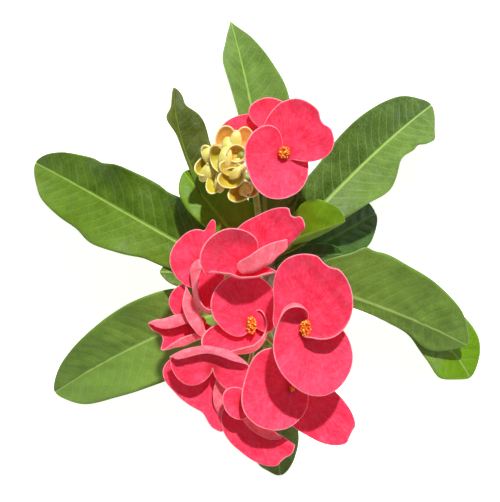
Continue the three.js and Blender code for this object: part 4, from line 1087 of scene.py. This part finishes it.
stem = {
    "foot": [2.5, -46.5, 4.7], "top": [2.5, 2.5, 46], "radius": 6,
    # [share of the length, share of the radius]: slight swellings at the old leaf scars
    "profile": [[0, 1], [0.12, 0.97], [0.16, 1.05], [0.3, 0.98], [0.34, 1.05], [0.5, 0.97],
                [0.54, 1.03], [0.7, 0.93], [0.74, 0.97], [0.88, 0.8], [0.95, 0.6], [1, 0]],
    # [share of the length, degrees round the stem, lean to the top]
    "thorns": [[0.1, 20, 15], [0.13, 160, 20], [0.24, 75, 20], [0.27, 120, 25], [0.3, 0, 20],
               [0.34, 185, 20], [0.44, 20, 20], [0.47, 165, 20], [0.5, 340, 20], [0.56, 215, 20],
               [0.6, 270, 30], [0.64, 315, 25], [0.72, 235, 30], [0.78, 285, 35]],
    "thornLength": 9, "thornRadius": 1.1, "thornBend": 8.0,
    "bark": [0.25, 5],  # [height, size] of its bumps in mm
    "cutRadius": 5.1,  # mm, of the pale wood at the cut end
    "rows": 120, "sides": 48,
}
foot, top = (np.array(stem[k]) for k in ("foot", "top"))
axis = unit(top - foot)
length = np.linalg.norm(top - foot)
right = np.array([1.0, 0.0, 0.0])
upper = np.cross(right, axis)


def stemBody():
    s = np.linspace(0, 1, stem["rows"])
    shares, radii = np.array(stem["profile"]).T
    radius = np.interp(s, shares, radii) * stem["radius"]
    around = np.linspace(0, 2 * math.pi, stem["sides"], endpoint=False)
    height, size = stem["bark"]
    rings = []
    for share, r in zip(s[:-1], radius):
        bark = height * wavy(around * 6, share * length, size, 3) * min(1, r / 3) * (share > 0)
        spoke = np.maximum(r - 0.15 + bark, 0)
        rings.append(foot + axis * share * length + spoke[:, None] * (
            np.cos(around)[:, None] * right + np.sin(around)[:, None] * upper))
    points, faces, _ = closedRings(foot, rings, top)
    # right, upper and axis are left-handed, so the faces are turned to point outwards
    return points + placeOnSurface, [face[::-1] for face in faces], {}


roots, ways, sizes = [], [], []
random = np.random.default_rng(11)
for share, around, lean in stem["thorns"]:
    outward = right * math.cos(math.radians(around)) + upper * math.sin(math.radians(around))
    roots.append(foot + axis * share * length + outward * stem["radius"] * 0.75 + placeOnSurface)
    ways.append(outward * math.cos(math.radians(lean)) + axis * math.sin(math.radians(lean)))
    sizes.append(random.uniform(0.88, 1.0))
rootPoints = bpy.data.meshes.new("thornRoots")
rootPoints.from_pydata((np.array(roots) * mm).tolist(), [], [])
addField(rootPoints, "direction", ways, "FLOAT_VECTOR")
addField(rootPoints, "size", sizes)
thornMesh = grown("thorns", rootPoints, thornTree(), {
    "Length": stem["thornLength"] * mm, "Thickness": stem["thornRadius"] * mm,
    "Bend": stem["thornBend"], "Skin": flesh["thornHorn"]})
thorns = (np.array([v.co for v in thornMesh.vertices]) / mm,
          [list(face.vertices) for face in thornMesh.polygons], {})
# The cut end: a thin disc of pale wood inside the bark
cut = stem["cutRadius"]
disc, discFaces, _ = lathe([(0, -0.1), (cut, -0.1), (cut, 0.2), (0, 0.2)], stem["sides"])
disc = foot + disc @ np.array([right, upper, -axis]) + placeOnSurface
woody = meshFrom("woodyStem", [stemBody(), thorns, (disc, discFaces, {})],
                 [flesh["bark"], flesh["thornHorn"], flesh["cutWood"]], [0, 1, 2])
addPiece("woodyStem", woody, "stem")
print("stem done")


# Floor, light and camera: a white sheet in low sun, seen from straight above
setting = {
    "floorColor": "#F4F4F2", "floorGlow": 0.8, "floorReach": 2.0,  # m
    "sunTowards": (0.24, 0.97, 1.1), "sunStrength": 3.9, "sunAngle": 3,
    "skyStrength": 0.26, "cameraAt": (-2.8, -1.2, 569.9), "lens": 100,
}
reach = setting["floorReach"]
floorMesh = bpy.data.meshes.new("floor")
floorMesh.from_pydata([(-reach, -reach, 0), (reach, -reach, 0), (reach, reach, 0), (-reach, reach, 0)],
                      [], [(0, 1, 2, 3)])
floorMesh.materials.append(withShader(newMaterial("whitePaper")[0], {
    "Base Color": linear(setting["floorColor"]), "Roughness": 0.9,
    "Emission Color": (1, 1, 1, 1), "Emission Strength": setting["floorGlow"]}))
addObject("floor", floorMesh)

world = bpy.data.worlds.new("studio")
bpy.context.scene.world = world
world.use_nodes = True
background = world.node_tree.nodes["Background"]
background.inputs["Color"].default_value = (1, 1, 1, 1)
background.inputs["Strength"].default_value = setting["skyStrength"]

sun = bpy.data.lights.new("keyLight", "SUN")
sun.energy = setting["sunStrength"]
sun.angle = math.radians(setting["sunAngle"])
sunObject = addObject("keyLight", sun)
sunObject.rotation_euler = Vector(setting["sunTowards"]).to_track_quat("Z", "Y").to_euler()

camera = bpy.data.cameras.new("camera")
camera.lens = setting["lens"]
camera.clip_start = 0.01
cameraObject = addObject("camera", camera)
cameraObject.location = Vector(setting["cameraAt"]) * mm
bpy.context.scene.camera = cameraObject
bpy.context.scene.view_settings.view_transform = "Standard"
print("floor, light and camera done")
